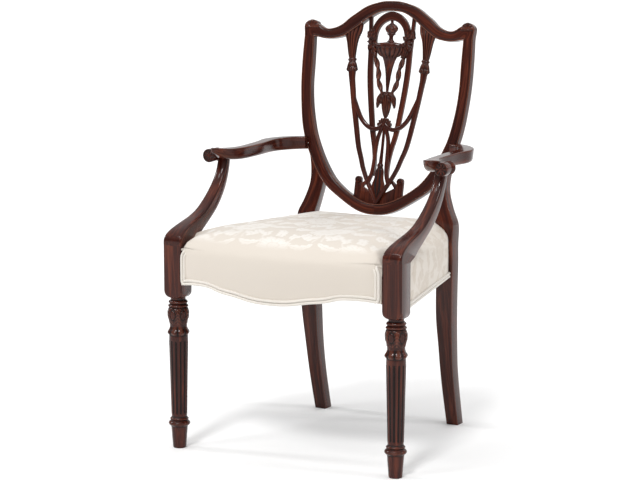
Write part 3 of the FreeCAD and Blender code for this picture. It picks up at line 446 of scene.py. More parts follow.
def noise(tree, source, scale=1.0, detail=4.0, rough=0.55, warp=0.0):
    node = add(tree, "ShaderNodeTexNoise", [("Vector", source)])
    node.inputs["Scale"].default_value = scale
    node.inputs["Detail"].default_value = detail
    node.inputs["Roughness"].default_value = rough
    node.inputs["Distortion"].default_value = warp
    return node.outputs["Fac"]


def levels(tree, source, low, high, to_low=0.0, to_high=1.0):
    node = add(tree, "ShaderNodeMapRange", [(0, source)], in_1=low, in_2=high, in_3=to_low, in_4=to_high)
    return node.outputs[0]


def blend(tree, factor, first, second):
    """Colour mix; first and second are sockets or colours."""
    node = add(tree, "ShaderNodeMix", [(0, factor)], data_type="RGBA")
    for key, value in ((6, first), (7, second)):
        if isinstance(value, tuple):
            node.inputs[key].default_value = (*value, 1)
        else:
            tree.links.new(value, node.inputs[key])
    return node.outputs[2]


def attribute(tree, name, kind="Fac"):
    return add(tree, "ShaderNodeAttribute", attribute_name=name).outputs[kind]


def bump(tree, shader, height, strength, distance):
    node = add(tree, "ShaderNodeBump", [("Height", height)])
    node.inputs["Strength"].default_value = strength
    node.inputs["Distance"].default_value = distance
    tree.links.new(node.outputs[0], shader.inputs["Normal"])


def maths(tree, operation, first, second):
    return add(tree, "ShaderNodeMath", [(0, first), (1, second)], operation=operation).outputs[0]


WOOD_DEEP = (0.024, 0.0052, 0.0036)
WOOD_MID = (0.078, 0.0152, 0.0080)
WOOD_LIGHT = (0.165, 0.038, 0.0170)
# Colour of the painted shade in hollows, and of edges lightened by wear and painted highlight.
WOOD_HOLLOW_SHADE = (0.004, 0.0016, 0.0014)
WOOD_WORN_AND_LIT = (0.200, 0.075, 0.045)
WOOD_SHINE = 0.26
FIGURE_STRETCH = (0.006, 0.09, 0.09)
PORE_STRETCH = (0.03, 1.1, 1.1)


def polished_wood(name):
    """Polished mahogany: long figure, fine pores, painted shade in the hollows, and edges lightened for wear
    and painted highlight.
    """
    material, tree, shader = new_material(name)
    place = attribute(tree, "grain", "Vector")
    painted_light_and_wear = attribute(tree, "painted_light_and_wear")
    long = stretched(tree, place, FIGURE_STRETCH)
    fine = stretched(tree, place, PORE_STRETCH)
    figure = levels(tree, noise(tree, long, detail=5.0, rough=0.6, warp=0.8), 0.32, 0.68)
    pores = levels(tree, noise(tree, fine, detail=3.0, rough=0.7), 0.35, 0.75)
    colour = blend(tree, figure, WOOD_DEEP, WOOD_MID)
    colour = blend(tree, levels(tree, figure, 0.5, 1.0, 0.0, 0.6), colour, WOOD_LIGHT)
    colour = blend(tree, levels(tree, pores, 0.0, 1.0, 0.35, 0.0), colour, WOOD_DEEP)
    # Painted shade darkens the hollows; the edges are lightened, partly for wear and partly as painted
    # highlight.
    colour = blend(tree, levels(tree, painted_light_and_wear, 0.0, -0.8), colour, WOOD_HOLLOW_SHADE)
    colour = blend(tree, levels(tree, painted_light_and_wear, 0.1, 1.0, 0.0, 0.6), colour, WOOD_WORN_AND_LIT)
    matt_hollow = levels(tree, painted_light_and_wear, -0.6, 0.1, 0.55, 0.0)
    satin = levels(tree, pores, 0.0, 1.0, 0.16, 0.10)
    tree.links.new(maths(tree, "MAXIMUM", matt_hollow, satin), shader.inputs["Roughness"])
    tree.links.new(colour, shader.inputs["Base Color"])
    shader.inputs["Specular IOR Level"].default_value = WOOD_SHINE
    bump(tree, shader, pores, 0.12, 0.0004)
    return material


def plain_wood(name, dark, light, rough):
    """Unpolished rail or dowel wood with straight grain along X."""
    material, tree, shader = new_material(name)
    place = add(tree, "ShaderNodeTexCoord").outputs["Object"]
    long = stretched(tree, place, (6.0, 90.0, 90.0))
    figure = levels(tree, noise(tree, long, detail=5.0, rough=0.6, warp=0.6), 0.3, 0.7)
    tree.links.new(blend(tree, figure, dark, light), shader.inputs["Base Color"])
    shader.inputs["Roughness"].default_value = rough
    bump(tree, shader, figure, 0.15, 0.0003)
    return material


WAVE_TO_PITCH = 0.32


def woven(name, dark, light, pitch, rough=0.85, strength=0.5):
    """Plain weave cloth with its two yarn directions crossing."""
    material, tree, shader = new_material(name)
    place = add(tree, "ShaderNodeTexCoord").outputs["Object"]
    waves = []
    for direction in ("X", "Y"):
        node = add(tree, "ShaderNodeTexWave", [("Vector", place)], bands_direction=direction)
        node.inputs["Scale"].default_value = WAVE_TO_PITCH / pitch
        node.inputs["Distortion"].default_value = 0.6
        waves.append(node.outputs["Fac"])
    yarn = maths(tree, "MULTIPLY", waves[0], waves[1])
    blotch = noise(tree, place, 30.0)
    colour = blend(tree, yarn, dark, light)
    colour = blend(tree, levels(tree, blotch, 0.3, 0.7, 0.0, 0.3), colour, dark)
    tree.links.new(colour, shader.inputs["Base Color"])
    shader.inputs["Roughness"].default_value = rough
    shader.inputs["Sheen Weight"].default_value = 0.3
    bump(tree, shader, yarn, strength, pitch * 0.4)
    return material


# Dull and bright tones of the weave; the tone between them also carries painted light.
CLOTH_DULL = (0.57, 0.497, 0.417)
CLOTH_BRIGHT = (0.80, 0.765, 0.715)
CLOTH_CLOUD = (0.66, 0.61, 0.545)
YARN_STRETCH = (1500.0, 260.0, 600.0)
CORD_DARK = (0.66, 0.61, 0.545)
CORD_LIGHT = (0.75, 0.71, 0.65)
# Colour of the painted shade in the cord's valleys and along its edges.
CORD_VALLEY_SHADE = (0.20, 0.155, 0.11)


def damask_material():
    """Cream damask: glossy satin ground with a duller woven figure and fine yarn."""
    material, tree, shader = new_material("damask_cover")
    figure = attribute(tree, "figure")
    place = add(tree, "ShaderNodeTexCoord").outputs["Object"]
    yarn = noise(tree, stretched(tree, place, YARN_STRETCH), detail=2.0, rough=0.6)
    cloud = noise(tree, place, 5.0, detail=2.0)
    # The figure attribute carries the woven figure with painted light: brighter on the top, darker down the
    # sides and across the front.
    colour = blend(tree, figure, CLOTH_DULL, CLOTH_BRIGHT)
    colour = blend(tree, levels(tree, cloud, 0.3, 0.7, 0.0, 0.2), colour, CLOTH_CLOUD)
    tree.links.new(colour, shader.inputs["Base Color"])
    tree.links.new(levels(tree, figure, 0.2, 0.9, 0.7, 0.42), shader.inputs["Roughness"])
    shader.inputs["Sheen Weight"].default_value = 0.25
    shader.inputs["Sheen Roughness"].default_value = 0.4
    raised = maths(tree, "ADD", figure, yarn)
    bump(tree, shader, raised, 0.35, 0.0004)
    return material


def cord_material():
    """Welt cord covered in the plain side of the seat cloth."""
    material, tree, shader = new_material("welt_cord")
    place = attribute(tree, "grain", "Vector")
    ribs = add(tree, "ShaderNodeTexWave", [("Vector", place)], bands_direction="DIAGONAL")
    ribs.inputs["Scale"].default_value = 0.35
    ribs.inputs["Distortion"].default_value = 0.4
    painted_light_and_wear = attribute(tree, "painted_light_and_wear")
    colour = blend(tree, ribs.outputs["Fac"], CORD_DARK, CORD_LIGHT)
    # Painted shade in the sewn valley and along the cord's edges.
    colour = blend(tree, levels(tree, painted_light_and_wear, 0.0, -1.0), colour, CORD_VALLEY_SHADE)
    tree.links.new(colour, shader.inputs["Base Color"])
    shader.inputs["Roughness"].default_value = 0.62
    shader.inputs["Sheen Weight"].default_value = 0.3
    bump(tree, shader, ribs.outputs["Fac"], 0.2, 0.0003)
    return material


def steel_material():
    """Screw steel with fine turning scratches."""
    material, tree, shader = new_material("screw_steel")
    place = add(tree, "ShaderNodeTexCoord").outputs["Object"]
    scratch = noise(tree, stretched(tree, place, (400.0, 400.0, 60.0)))
    shader.inputs["Base Color"].default_value = (0.42, 0.40, 0.37, 1)
    shader.inputs["Metallic"].default_value = 1.0
    tree.links.new(levels(tree, scratch, 0.3, 0.7, 0.25, 0.5), shader.inputs["Roughness"])
    return material


mahogany = polished_wood("mahogany")
beech = plain_wood("rail_beech", (0.30, 0.19, 0.11), (0.47, 0.33, 0.21), 0.7)
dowel_wood = plain_wood("dowel_beech", (0.38, 0.26, 0.16), (0.52, 0.38, 0.25), 0.65)
damask = damask_material()
cord = cord_material()
steel = steel_material()
jute = woven("jute_webbing", (0.24, 0.16, 0.09), (0.48, 0.36, 0.22), 0.0022)
hessian = woven("hessian", (0.28, 0.20, 0.12), (0.50, 0.40, 0.27), 0.0014)
cambric = woven("black_cambric", (0.012, 0.012, 0.013), (0.03, 0.03, 0.032), 0.0009, 0.9, 0.25)


# Shield frame: crest rail and sides share one moulded section


SHIELD_BACK = -3.7
SHIELD_FRONT = 15.5
BEAD = 1.5


def frame_section():
    """(place in from an edge, depth, painted light and wear) from the back edge to the middle of the face."""
    rows = [(1.6, SHIELD_BACK, 0.0), (0.4, SHIELD_BACK + 0.6, 0.1), (0.0, SHIELD_BACK + 2.0, 0.0)]
    rows += [(0.0, 3.0, 0.0), (0.0, SHIELD_FRONT - 5.0, 0.0), (0.0, SHIELD_FRONT - 2.2, 0.0)]
    # The bead is lightened for wear and painted highlight, and the quirk beside it gets painted shade.
    for i in range(7):
        turn_to = math.radians(180 - 30 * i)
        way = BEAD + BEAD * math.cos(turn_to)
        d = SHIELD_FRONT - BEAD + BEAD * math.sin(turn_to)
        rows.append((way, d, 0.9 * math.sin(turn_to)))
    rows.append((3.3, SHIELD_FRONT - 2.1, -0.9))
    rows.append((4.1, SHIELD_FRONT - 1.3, -0.25))
    rows.append((6.2, SHIELD_FRONT - 0.9, 0.0))
    rows.append((9.0, SHIELD_FRONT - 0.7, 0.0))
    return np.array(rows)


def framed(shape, pairs):
    """Moulded bar between an outer and an inner edge of board points."""
    rows = dense([(*outer, *inner) for outer, inner in pairs], BAR_STEP)
    outer = rows[:, None, :2]
    inner = rows[:, None, 2:4]
    inward = inner - outer
    width = np.linalg.norm(inward, axis=2, keepdims=True)
    inward = inward / width
    section = frame_section()
    way = np.minimum(section[None, :, 0:1], width * 0.48)
    near = outer + inward * way
    far = (inner - inward * way)[:, ::-1]
    edge = np.concatenate([near, far], 1)
    d = np.concatenate([section[:, 1], section[::-1, 1]])[None]
    d = np.broadcast_to(d, edge.shape[:2])
    painted_light_and_wear = np.concatenate([section[:, 2], section[::-1, 2]])[None]
    along = run_along((rows[:, :2] + rows[:, 2:4]) / 2)
    offset = np.concatenate([way, width - way[:, ::-1]], 1)[..., 0]
    grain = np.stack([np.broadcast_to(along[:, None], d.shape), offset, d], -1)
    shape.grid(stand(edge[..., 0], edge[..., 1], d), grain, painted_light_and_wear)


SHIELD_PAIRS = [
    ((216.3, 409), (192.3, 409)), ((217.4, 370), (191.3, 370)), ((217.5, 335), (191, 335)),
    ((216.5, 300), (191, 303)), ((212.3, 252), (187, 255)), ((204.5, 200), (177.5, 205.5)),
    ((198, 175), (171.3, 183)), ((189, 150), (162.6, 161)), ((170, 112), (144.3, 124.5)),
    ((152, 83), (127, 98)), ((132, 61), (113, 80.5)), ((102, 39.5), (88.5, 60)),
    ((72, 21), (59.5, 42)), ((42, 6.5), (34, 31)), ((20, 1.2), (17, 26.4)), ((0, 0), (0, 25)),
]
CREST_PAIRS = [
    ((216.3, 409), (192.3, 409)), ((217.0, 419), (192.1, 408.9)), ((218.2, 430), (191.6, 408.8)),
    ((216.0, 439), (190.6, 408.6)), ((207, 444.5), (189, 408.3)), ((197, 444.5), (187, 408)),
    ((187, 440), (184, 407.4)), ((177, 434.5), (178, 406.6)), ((169, 429.8), (171, 405)),
    ((160, 427.5), (162, 404.3)), ((147, 428.8), (147, 404.7)), ((133, 433.5), (123.5, 409.6)),
    ((120, 441.5), (109, 416.8)), ((105, 454.5), (91, 429.4)), ((90, 465), (77, 439.5)),
    ((75, 475.5), (63, 451.0)), ((60, 483.5), (50, 459.4)), ((40, 490), (34.5, 467.3)),
    ((20, 494.3), (18, 471.2)), ((0, 495), (0, 472.5)),
]


def shield_side():
    shape = Shape()
    framed(shape, SHIELD_PAIRS)
    return shape


EAR_X = 199.6
EAR_W = 428.5
EAR_REACH = (17.9, 19.2)
EAR_LOBES = 5


def ear_cap(shape):
    """Carved palm leaf that folds over the top corner of the shield."""
    angle = np.radians(np.linspace(1, 179, 91))[:, None]
    path = [(1.0, 0.0), (1.01, 0.3), (1.01, 0.8), (0.98, 0.93), (0.92, 1.0), (0.8, 1.03), (0.6, 1.035),
            (0.4, 1.03), (0.2, 1.01), (0.02, 0.98)]
    way = np.array([p[0] for p in path])[None]
    tall = np.array([p[1] for p in path])[None]
    groove = 1 - np.abs(np.sin(EAR_LOBES * angle)) ** 0.45
    lobed = groove * smoothstep(way * 1.6)
    reach = way * (1 - 0.05 * lobed)
    x = EAR_X + EAR_REACH[0] * reach * np.cos(angle)
    w = EAR_W + EAR_REACH[1] * reach * np.sin(angle)
    d = SHIELD_BACK + (SHIELD_FRONT + 0.4 - SHIELD_BACK) * tall - 1.2 * lobed * (tall > 0.9)
    # Painted shade in the lobe grooves, the rest lightened for wear and painted highlight.
    painted_light_and_wear = np.broadcast_to(0.25 - 1.1 * lobed, d.shape)
    grain = np.stack([x, w, d], -1)
    shape.grid(stand(x, w, d), grain, painted_light_and_wear)


def crest():
    shape = Shape()
    left = [((-a[0], a[1]), (-b[0], b[1])) for a, b in CREST_PAIRS[:-1]]
    framed(shape, CREST_PAIRS + left[::-1])
    cap = Shape()
    ear_cap(cap)
    for one in (cap, cap.mirrored()):
        shape.add(one.points[0], one.faces, one.grain[0], one.painted_light_and_wear[0])
    return shape


# Splat


OUTER_RIB = [
    (93.2, 340, 8.6), (92.6, 328, 8.5), (91.6, 315, 7.4), (89.3, 300, 6.8), (82.8, 260, 6.3), (75, 220, 6.2),
    (67, 180, 6), (59.5, 150, 5.6), (52, 130, 5.4), (45, 110, 5.2), (35.6, 90, 5), (27, 74, 5), (17, 58, 4.8),
    (8, 42, 4.5), (0.6, 27, 4),
]
OUTER_CAPITAL = [
    (96, 441, 23, 4, 11), (96.2, 430, 22.5, 4, 12.5), (97, 420, 20.5, 4, 14.5), (97.3, 408, 16.5, 4, 15),
    (97, 395, 13.2, 4, 14.6), (96.5, 381, 11, 4, 14.2), (95.5, 368, 9, 4, 13.6), (94.8, 360, 7.6, 4, 13),
]
NECK_RING = [
    (94.9, 362, 7, 4, 12.5), (94.5, 359, 9.6, 3.4, 14.6), (94.3, 356, 9.6, 3.4, 14.6), (94, 353, 7, 4, 12.5),
]
HUSK_BUD = [
    (94.2, 357, 6, 4, 12.5), (94, 351, 9, 3.6, 14), (93.6, 344, 11.5, 3.4, 15), (93.2, 337, 13.2, 3.2, 16),
    (93.0, 333.5, 13.6, 3.2, 16.2), (92.8, 331, 11.5, 3.6, 15), (92.6, 328.5, 8, 4, 14),
]


def outer_rib():
    shape = Shape()
    bar(shape, [(*row, 4.0, 14.0) for row in OUTER_RIB], 2.3, 0.62)
    carved(shape, OUTER_CAPITAL, flutes(5), 2.0, 0.5, 41, 1.2)
    carved(shape, NECK_RING, across=15, step=0.7)

    def bud(share, u):
        """Scales at the top of the bud that turn into leaves."""
        scales = 1 - np.abs(np.sin(np.pi * (2.6 * share + 0.5 * np.cos(2.5 * np.pi * u)))) ** 0.5
        return np.maximum(0.7 * scales, flutes(5)(share, u) * smoothstep(share * 3 - 0.6))
    carved(shape, HUSK_BUD, bud, 1.5, 0.55, 31, 0.8)
    return shape


INNER_RIB = [
    (56, 461, 4.6), (55, 442, 4.4), (54, 428, 4.6), (52.8, 415, 5.4), (51, 402, 6.4), (50, 388, 6.6),
    (49, 350, 6.5), (47, 315, 6.5), (40.7, 260, 6.3), (35, 220, 6.2), (30.5, 192, 6), (25, 168, 5.6),
    (20, 142, 5), (17.5, 115, 4.6), (18, 90, 4.4),
]
INNER_HUSK = [
    (54, 431, 4.5, -1, 8), (53.6, 424, 6.5, -1, 9.5), (53, 417, 9, -1, 11), (52.6, 412.5, 9.8, -1, 11.5),
    (52, 409, 6.5, -1, 9),
]


def inner_rib():
    shape = Shape()
    bar(shape, [(*row, -1.0, 7.0) for row in INNER_RIB], 5.0, 0.22)
    carved(shape, INNER_HUSK, flutes(4), 1.6, 0.5, 29, 0.8, (1.5, 0.15))
    return shape


SMALL_RIB = [
    (3.5, 206, 4), (9.5, 190, 4.3), (13.5, 175, 4.5), (15.5, 155, 4.5), (16.3, 130, 4.5), (17.5, 105, 4.5),
    (20, 91, 4.8), (25, 78, 5.2), (28, 70, 5),
]
ARCH_HALF = [
    (42, 386, 6.2), (42.5, 402, 6.4), (42, 418, 6.9), (39, 432, 7.8), (31, 445.5, 8.6), (17, 456.5, 9.6),
]
LOOP_HALF = [
    (83, 270, 4.6), (80, 262, 5), (74, 249, 5), (68, 236, 5), (60, 222, 5), (50, 210.5, 5), (40, 203, 5),
    (30, 199, 5), (20, 198.7, 5), (11, 203, 5), (0.5, 212, 4.6),
]


def small_rib():
    shape = Shape()
    bar(shape, [(*row, 6.0, 14.0) for row in SMALL_RIB], 2.4, 0.55)
    return shape


def splat_arch():
    shape = Shape()
    left = [(-x, w, h) for x, w, h in ARCH_HALF[::-1]]
    rows = ARCH_HALF + [(0, 461, 10.4)] + left
    bar(shape, [(*row, 0.0, 10.8) for row in rows], 4.2, 0.28)
    return shape


def splat_loop():
    shape = Shape()
    for side in (1, -1):
        bar(shape, [(side * x, w, h, 5.0, 13.2) for x, w, h in LOOP_HALF], 2.6, 0.5)
    return shape


URN_PROFILE = [
    (2.6, 279), (3.4, 286), (4.2, 295), (5.5, 307), (7, 322), (9.5, 338), (12, 348), (15, 358), (19, 366),
    (30.5, 372.5, 36.5, 386), (37.2, 388), (40.2, 388.6), (41, 392.5, 38.5, 396.5), (36, 397.8), (22, 399),
    (10, 401.5), (6, 406), (5, 411), (6, 415.5), (10.6, 418.6), (11, 420.6), (9.8, 421.6),
    (16.8, 431, 10, 441), (4.8, 444), (3.6, 446.5), (3.6, 456),
]
URN_D = 6.0
URN_FLATTEN = 0.42


def splat_urn():
    shape = Shape()

    def put(u, v, h):
        return stand(u, h, URN_D - v * URN_FLATTEN)

    def relief(angle, r, h):
        bowl = smoothstep((h - 362) / 6) * smoothstep((388.5 - h) / 3)
        stem = smoothstep((h - 284) / 10) * smoothstep((350 - h) / 14)
        bud = smoothstep((h - 422) / 3) * smoothstep((443 - h) / 3)
        gadroon = 1 - np.abs(np.cos(8 * angle)) ** 0.6
        reed = 1 - np.abs(np.cos(4 * angle)) ** 0.5
        petal = 1 - np.abs(np.cos(3 * angle + 0.16 * (h - 421))) ** 0.5
        cut = bowl * gadroon * 3.2 + stem * reed * 0.8 + bud * petal * 2.6
        # Painted shade in the gadroons, reeds and petals; the bowl and bud lightened for wear and painted
        # highlight.
        painted_light_and_wear = 0.4 * (bowl + bud) - 1.5 * bowl * gadroon - 1.0 * stem * reed - 1.4 * bud * petal
        return cut, painted_light_and_wear
    turn(shape, URN_PROFILE, 128, put, relief, 1.0)
    return shape


SWAG_LEAVES = [
    ((46, 408), (57, 424), 6.6, 1.5, 2.2), ((45, 408), (44, 430), 6.8, -1.5, 1.5),
    ((44, 405), (34, 414), 5.4, -1.0, 2.0), ((46, 403), (57, 400), 5.6, 1.0, 2.4),
    ((43, 398), (34, 388), 6.2, 2.0, 2.4), ((45, 397), (52, 380), 6.4, -2.0, 2.4),
    ((43, 393), (41, 368), 6.8, 1.5, 1.5), ((40, 381), (32, 364), 6.0, -1.5, 1.8),
]
RIBBON = [
    (44, 430, 3.4), (45, 412, 6.5), (44.5, 396, 7), (41.5, 380, 6.4), (37, 366, 6.2), (32, 352, 6.2),
    (27.5, 338, 6.2), (25.6, 324, 6.4), (24.6, 311, 6.4), (19.5, 297, 6.0), (12, 281, 4.8),
]
TWIST_FROM = 40.0
TWIST_LENGTH = 27.0


def splat_swag():
    """Leaf cluster over the end of the arch with a twisted ribbon that falls to the tassel."""
    shape = Shape()
    for one in SWAG_LEAVES:
        leaf(shape, *one)
    rows = dense([(*row, 3.0, 11.0) for row in RIBBON], 2.0)
    along = run_along(rows[:, :2])
    twist = np.abs(np.sin(np.pi * (along - TWIST_FROM) / TWIST_LENGTH))
    rows[:, 2] = rows[:, 2] * (0.55 + 0.5 * twist)
    rows[:, 4] = 9.0 + 3.4 * (1 - twist)

    def fold(share, u):
        """Crease that crosses the ribbon with each half twist."""
        phase = (share * along[-1] - TWIST_FROM) / TWIST_LENGTH
        crease = np.sin(np.pi * phase)
        line = np.abs(u - 0.9 * np.cos(np.pi * phase) * np.sign(crease))
        return 0.9 * bell(line, 0, 0.16) + 0.35 * bell(crease, 0, 0.2)
    carved(shape, rows[::2], fold, 1.3, 0.7, 15, 1.0)
    return shape


TASSEL_BODY = [
    (0, 286, 6, 3, 9), (0, 279, 11.5, 2, 12), (0, 270, 13.5, 2, 13), (0, 259, 12.5, 2, 13),
    (0, 248, 11, 2, 12.2), (0, 238, 8.6, 2, 11), (0, 230, 5.6, 2.5, 9.6), (0, 224.4, 2.2, 3, 8),
]
TASSEL_FLAP = [
    (4, 284, 3, 3, 12), (11, 280, 5.0, 3, 13.6), (17, 272, 6.2, 3, 14), (20, 262, 5.4, 3, 13.6),
    (21.3, 254, 3.4, 3, 12.6), (22, 247.5, 0.8, 4, 11),
]
TASSEL_INNER = [(3, 280, 2.2, 6, 14), (7, 274, 3.6, 6, 15), (10, 265, 3.6, 6, 15), (11.5, 257, 1.0, 6, 13.6)]


def sided(rows, side):
    """Rows of the right side (1) or of the left side (-1)."""
    return [(side * row[0], *row[1:]) for row in rows]


def splat_tassel():
    shape = Shape()
    carved(shape, TASSEL_BODY, flutes(5), 1.7, 0.65, 41, 1.0)
    for side in (1, -1):
        carved(shape, sided(TASSEL_FLAP, side), veins(4), 1.2, 0.6, 19, 0.9, (3, 0.15))
        carved(shape, sided(TASSEL_INNER, side), veins(3), 1.0, 0.6, 13, 0.9)
    return shape


ROSETTE_PETALS = 7
ROSETTE_W = 208.0
ROSETTE_PETAL = [(4, 1.2), (8, 2.6), (12.5, 3.7), (16, 3.2), (18.2, 1.0)]
ROSETTE_EYE = [(0.3, 14.6), (3.4, 14.0), (5.0, 12.0), (5.2, 3.0)]
ROSETTE_FOOT = [
    (-17.5, 209, 2.2, 3, 12.4), (-9, 206.6, 2.6, 3, 12.8), (0, 208.5, 2.8, 3, 13), (9, 206.6, 2.6, 3, 12.8),
    (17.5, 209, 2.2, 3, 12.4),
]


def half_rosette():
    shape = Shape()
    for i in range(ROSETTE_PETALS):
        angle = math.pi * (i + 0.5) / ROSETTE_PETALS
        rows = []
        for r, half in ROSETTE_PETAL:
            front = 11.2 + 2.2 * math.sin(r / 7)
            rows.append((r * math.cos(angle), ROSETTE_W + r * math.sin(angle), half, 3.0, front))
        carved(shape, rows, lambda share, u: bell(u, 0, 0.3) * 0.8, 1.0, 0.7, 13, 0.8)
    turn(shape, ROSETTE_EYE, 28, lambda u, v, h: stand(u, ROSETTE_W + 3 + v, h), None, 0.8)
    carved(shape, ROSETTE_FOOT, across=9, step=1.2)
    return shape


SHOE_HALF = [
    (0, 58), (10, 54), (21, 54), (40, 64), (29, 77.5), (33, 82), (45, 71.5), (46, 78), (47.5, 84), (50.3, 87),
    (53.8, 88), (57.5, 87), (60.5, 83.5), (62, 78), (62, 30), (30, 14), (0, 8),
]
SHOE_SCROLL = [
    (0.3, 9.6), (2.2, 9.2), (3.2, 7.4), (4.0, 7.2), (5.2, 8.6), (6.8, 8.4), (8.0, 6.4), (8.2, 4.0),
    (8.2, -2.6),
]
SHOE_POST = [(55.5, 78, 6.4, -3, 6.4), (56, 62, 6.0, -3, 6.0), (56.5, 44, 5.4, -3, 5.6)]
SHOE_SCROLL_X = 53.8
SHOE_SCROLL_W = 80.0


def splat_shoe():
    """Fretted shoe with a small scroll on each side."""
    shape = Shape()
    fret(shape, whole(SHOE_HALF), -3.0, 5.0, 1.2)

    def relief(angle, r, h):
        # Rim of the scroll lightened for wear and painted highlight, its groove darkened with painted shade.
        return 0 * r, 0.3 * bell(r, 6, 1.2) - 0.9 * bell(r, 3.6, 0.9) * (h > 5)
    for side in (1, -1):
        turn(shape, SHOE_SCROLL, 40, lambda u, v, h: stand(side * SHOE_SCROLL_X + u, SHOE_SCROLL_W + v, h),
             relief, 0.9)
        bar(shape, sided(SHOE_POST, side), 3.0, 0.4)
    return shape


LEAF_SPIKE = [(0, 207, 1.6, 5, 11), (0, 193, 2.8, 5, 12.2), (0, 160, 3.3, 5, 12.4), (0, 120, 4.6, 5, 13)]
LEAF_KNOB = [(0, 120, 4.5, 5, 12.6), (0, 117, 6.6, 5, 14.2), (0, 113.5, 7.0, 5, 14.6), (0, 110, 5.6, 5, 13.2)]
LEAF_BLADE = [
    (0, 111, 6.0, 4, 12.4), (0, 103, 9.4, 4, 13.4), (0, 92, 10.6, 4, 13.4), (0, 80, 12.6, 4, 13),
    (0, 70, 16.0, 4, 12.2), (0, 62, 14.6, 4, 11.6), (0, 52, 9.6, 4, 11), (0, 44, 5.4, 4, 10.2),
    (0, 36, 1.0, 4, 9),
]


def centre_leaf():
    """Pointed leaf on the shoe, with a knob and a spike above it."""
    shape = Shape()
    bar(shape, LEAF_SPIKE, 2.0, 0.75)
    carved(shape, LEAF_KNOB, across=15, step=0.7)

    def ridge(share, u):
        u = np.abs(u)
        return 0.15 + 0.9 * bell(u, 0.36, 0.16) + 0.25 * bell(u, 0.8, 0.1)
    carved(shape, LEAF_BLADE, ridge, 1.6, 0.6, 33, 1.2)
    return shape


# Legs, arm supports and arms


LEG_ROWS = [
    (0.0, 160.0, 188.7, 316.0, 347.0), (0.14, 159.7, 189.5, 301.5, 333.0),
    (0.28, 159.3, 190.3, 288.3, 320.0), (0.42, 159, 191.2, 277.3, 310.0),
    (0.56, 158.4, 193.2, 268.8, 302.8), (0.7, 156.8, 195.4, 261.5, 296.4),
    (0.84, 157, 197, 257.8, 293.0), (0.98, 158.5, 198.6, 255.6, 291.0),
    (1.12, 159.8, 199.8, 254.0, 289.6),
]
POST_ROWS = [
    (-46, 201, 160, 161.5, 11, -26.5), (-20, 202, 157, 162, 14, -23), (0, 199, 155, 161, 14.5, -21),
    (15, 192, 151, 157, 14, -20.3), (40, 182, 145, 151, 13, -19.5), (58, 176.5, 141.5, 147, 12.5, -19),
    (75, 174.5, 141, 146, 11.5, -18), (95, 175.5, 144, 148, 10.5, -17), (120, 180, 152, 155, 9, -16),
    (138, 184.5, 159, 161, 8, -15), (160, 188, 166, 167, 7, -13.5),
]


def back_leg():
    rows = []
    for share, inner, outer, front, back in LEG_ROWS:
        z = share * RAIL_BOTTOM
        rows.append([outer, front, z, inner, front, z, inner, back, z, outer, back, z])
    for w, outer, front_in, back_in, front_d, back_d in POST_ROWS:
        row = []
        for x, d in ((outer, front_d), (front_in, front_d), (back_in, back_d), (outer, back_d)):
            y = BACK_Y + w * math.sin(RAKE) - d * math.cos(RAKE)
            row += [x, y, BACK_Z + w * math.cos(RAKE) + d * math.sin(RAKE)]
        rows.append(row)
    shape = Shape()
    corners = dense(rows, 8.0, 12).reshape(-1, 4, 3)
    loft(shape, corners, (2.4, 2.4, 3.0, 3.0), 4, 0.5)
    return shape


FOOT_PROFILE = [
    (13.4, 0), (14.3, 1.0), (14.8, 3), (18, 45), (18.6, 49), (19.5, 50), (23.9, 56, 19.5, 62), (18.2, 63.5),
    (20.6, 66, 18.2, 68.5), (16.9, 71), (17.3, 75), (21.2, 246), (20.9, 251), (20.6, 254), (21.8, 256.5),
    (23.6, 260.5), (23.0, 264.5), (20.6, 269), (19.2, 274), (19.4, 279), (21.2, 285.5),
    (23.6, 293), (24.7, 301),
    (24.4, 307.5), (22.8, 313), (20.8, 315.8), (19.4, 316.8),
    (22.6, 320, 19.4, 323.2), (18.2, 324.6), (21.4, 328.4, 18.2, 332.2), (16.6, 333.4), (16.6, 345),
]
FLUTES = 12
FLUTE_R = 2.9
FLUTE_OUT = 1.3
VASE_R = 24.0
LEG_BEADS = [(56, 2.5), (66, 1.2), (320, 1.5), (328.4, 1.8)]
LEG_NIPS = [(49.4, 0.9), (63.2, 1.0), (70.6, 1.2), (316.6, 0.9), (324.3, 0.9), (333.6, 1.2)]


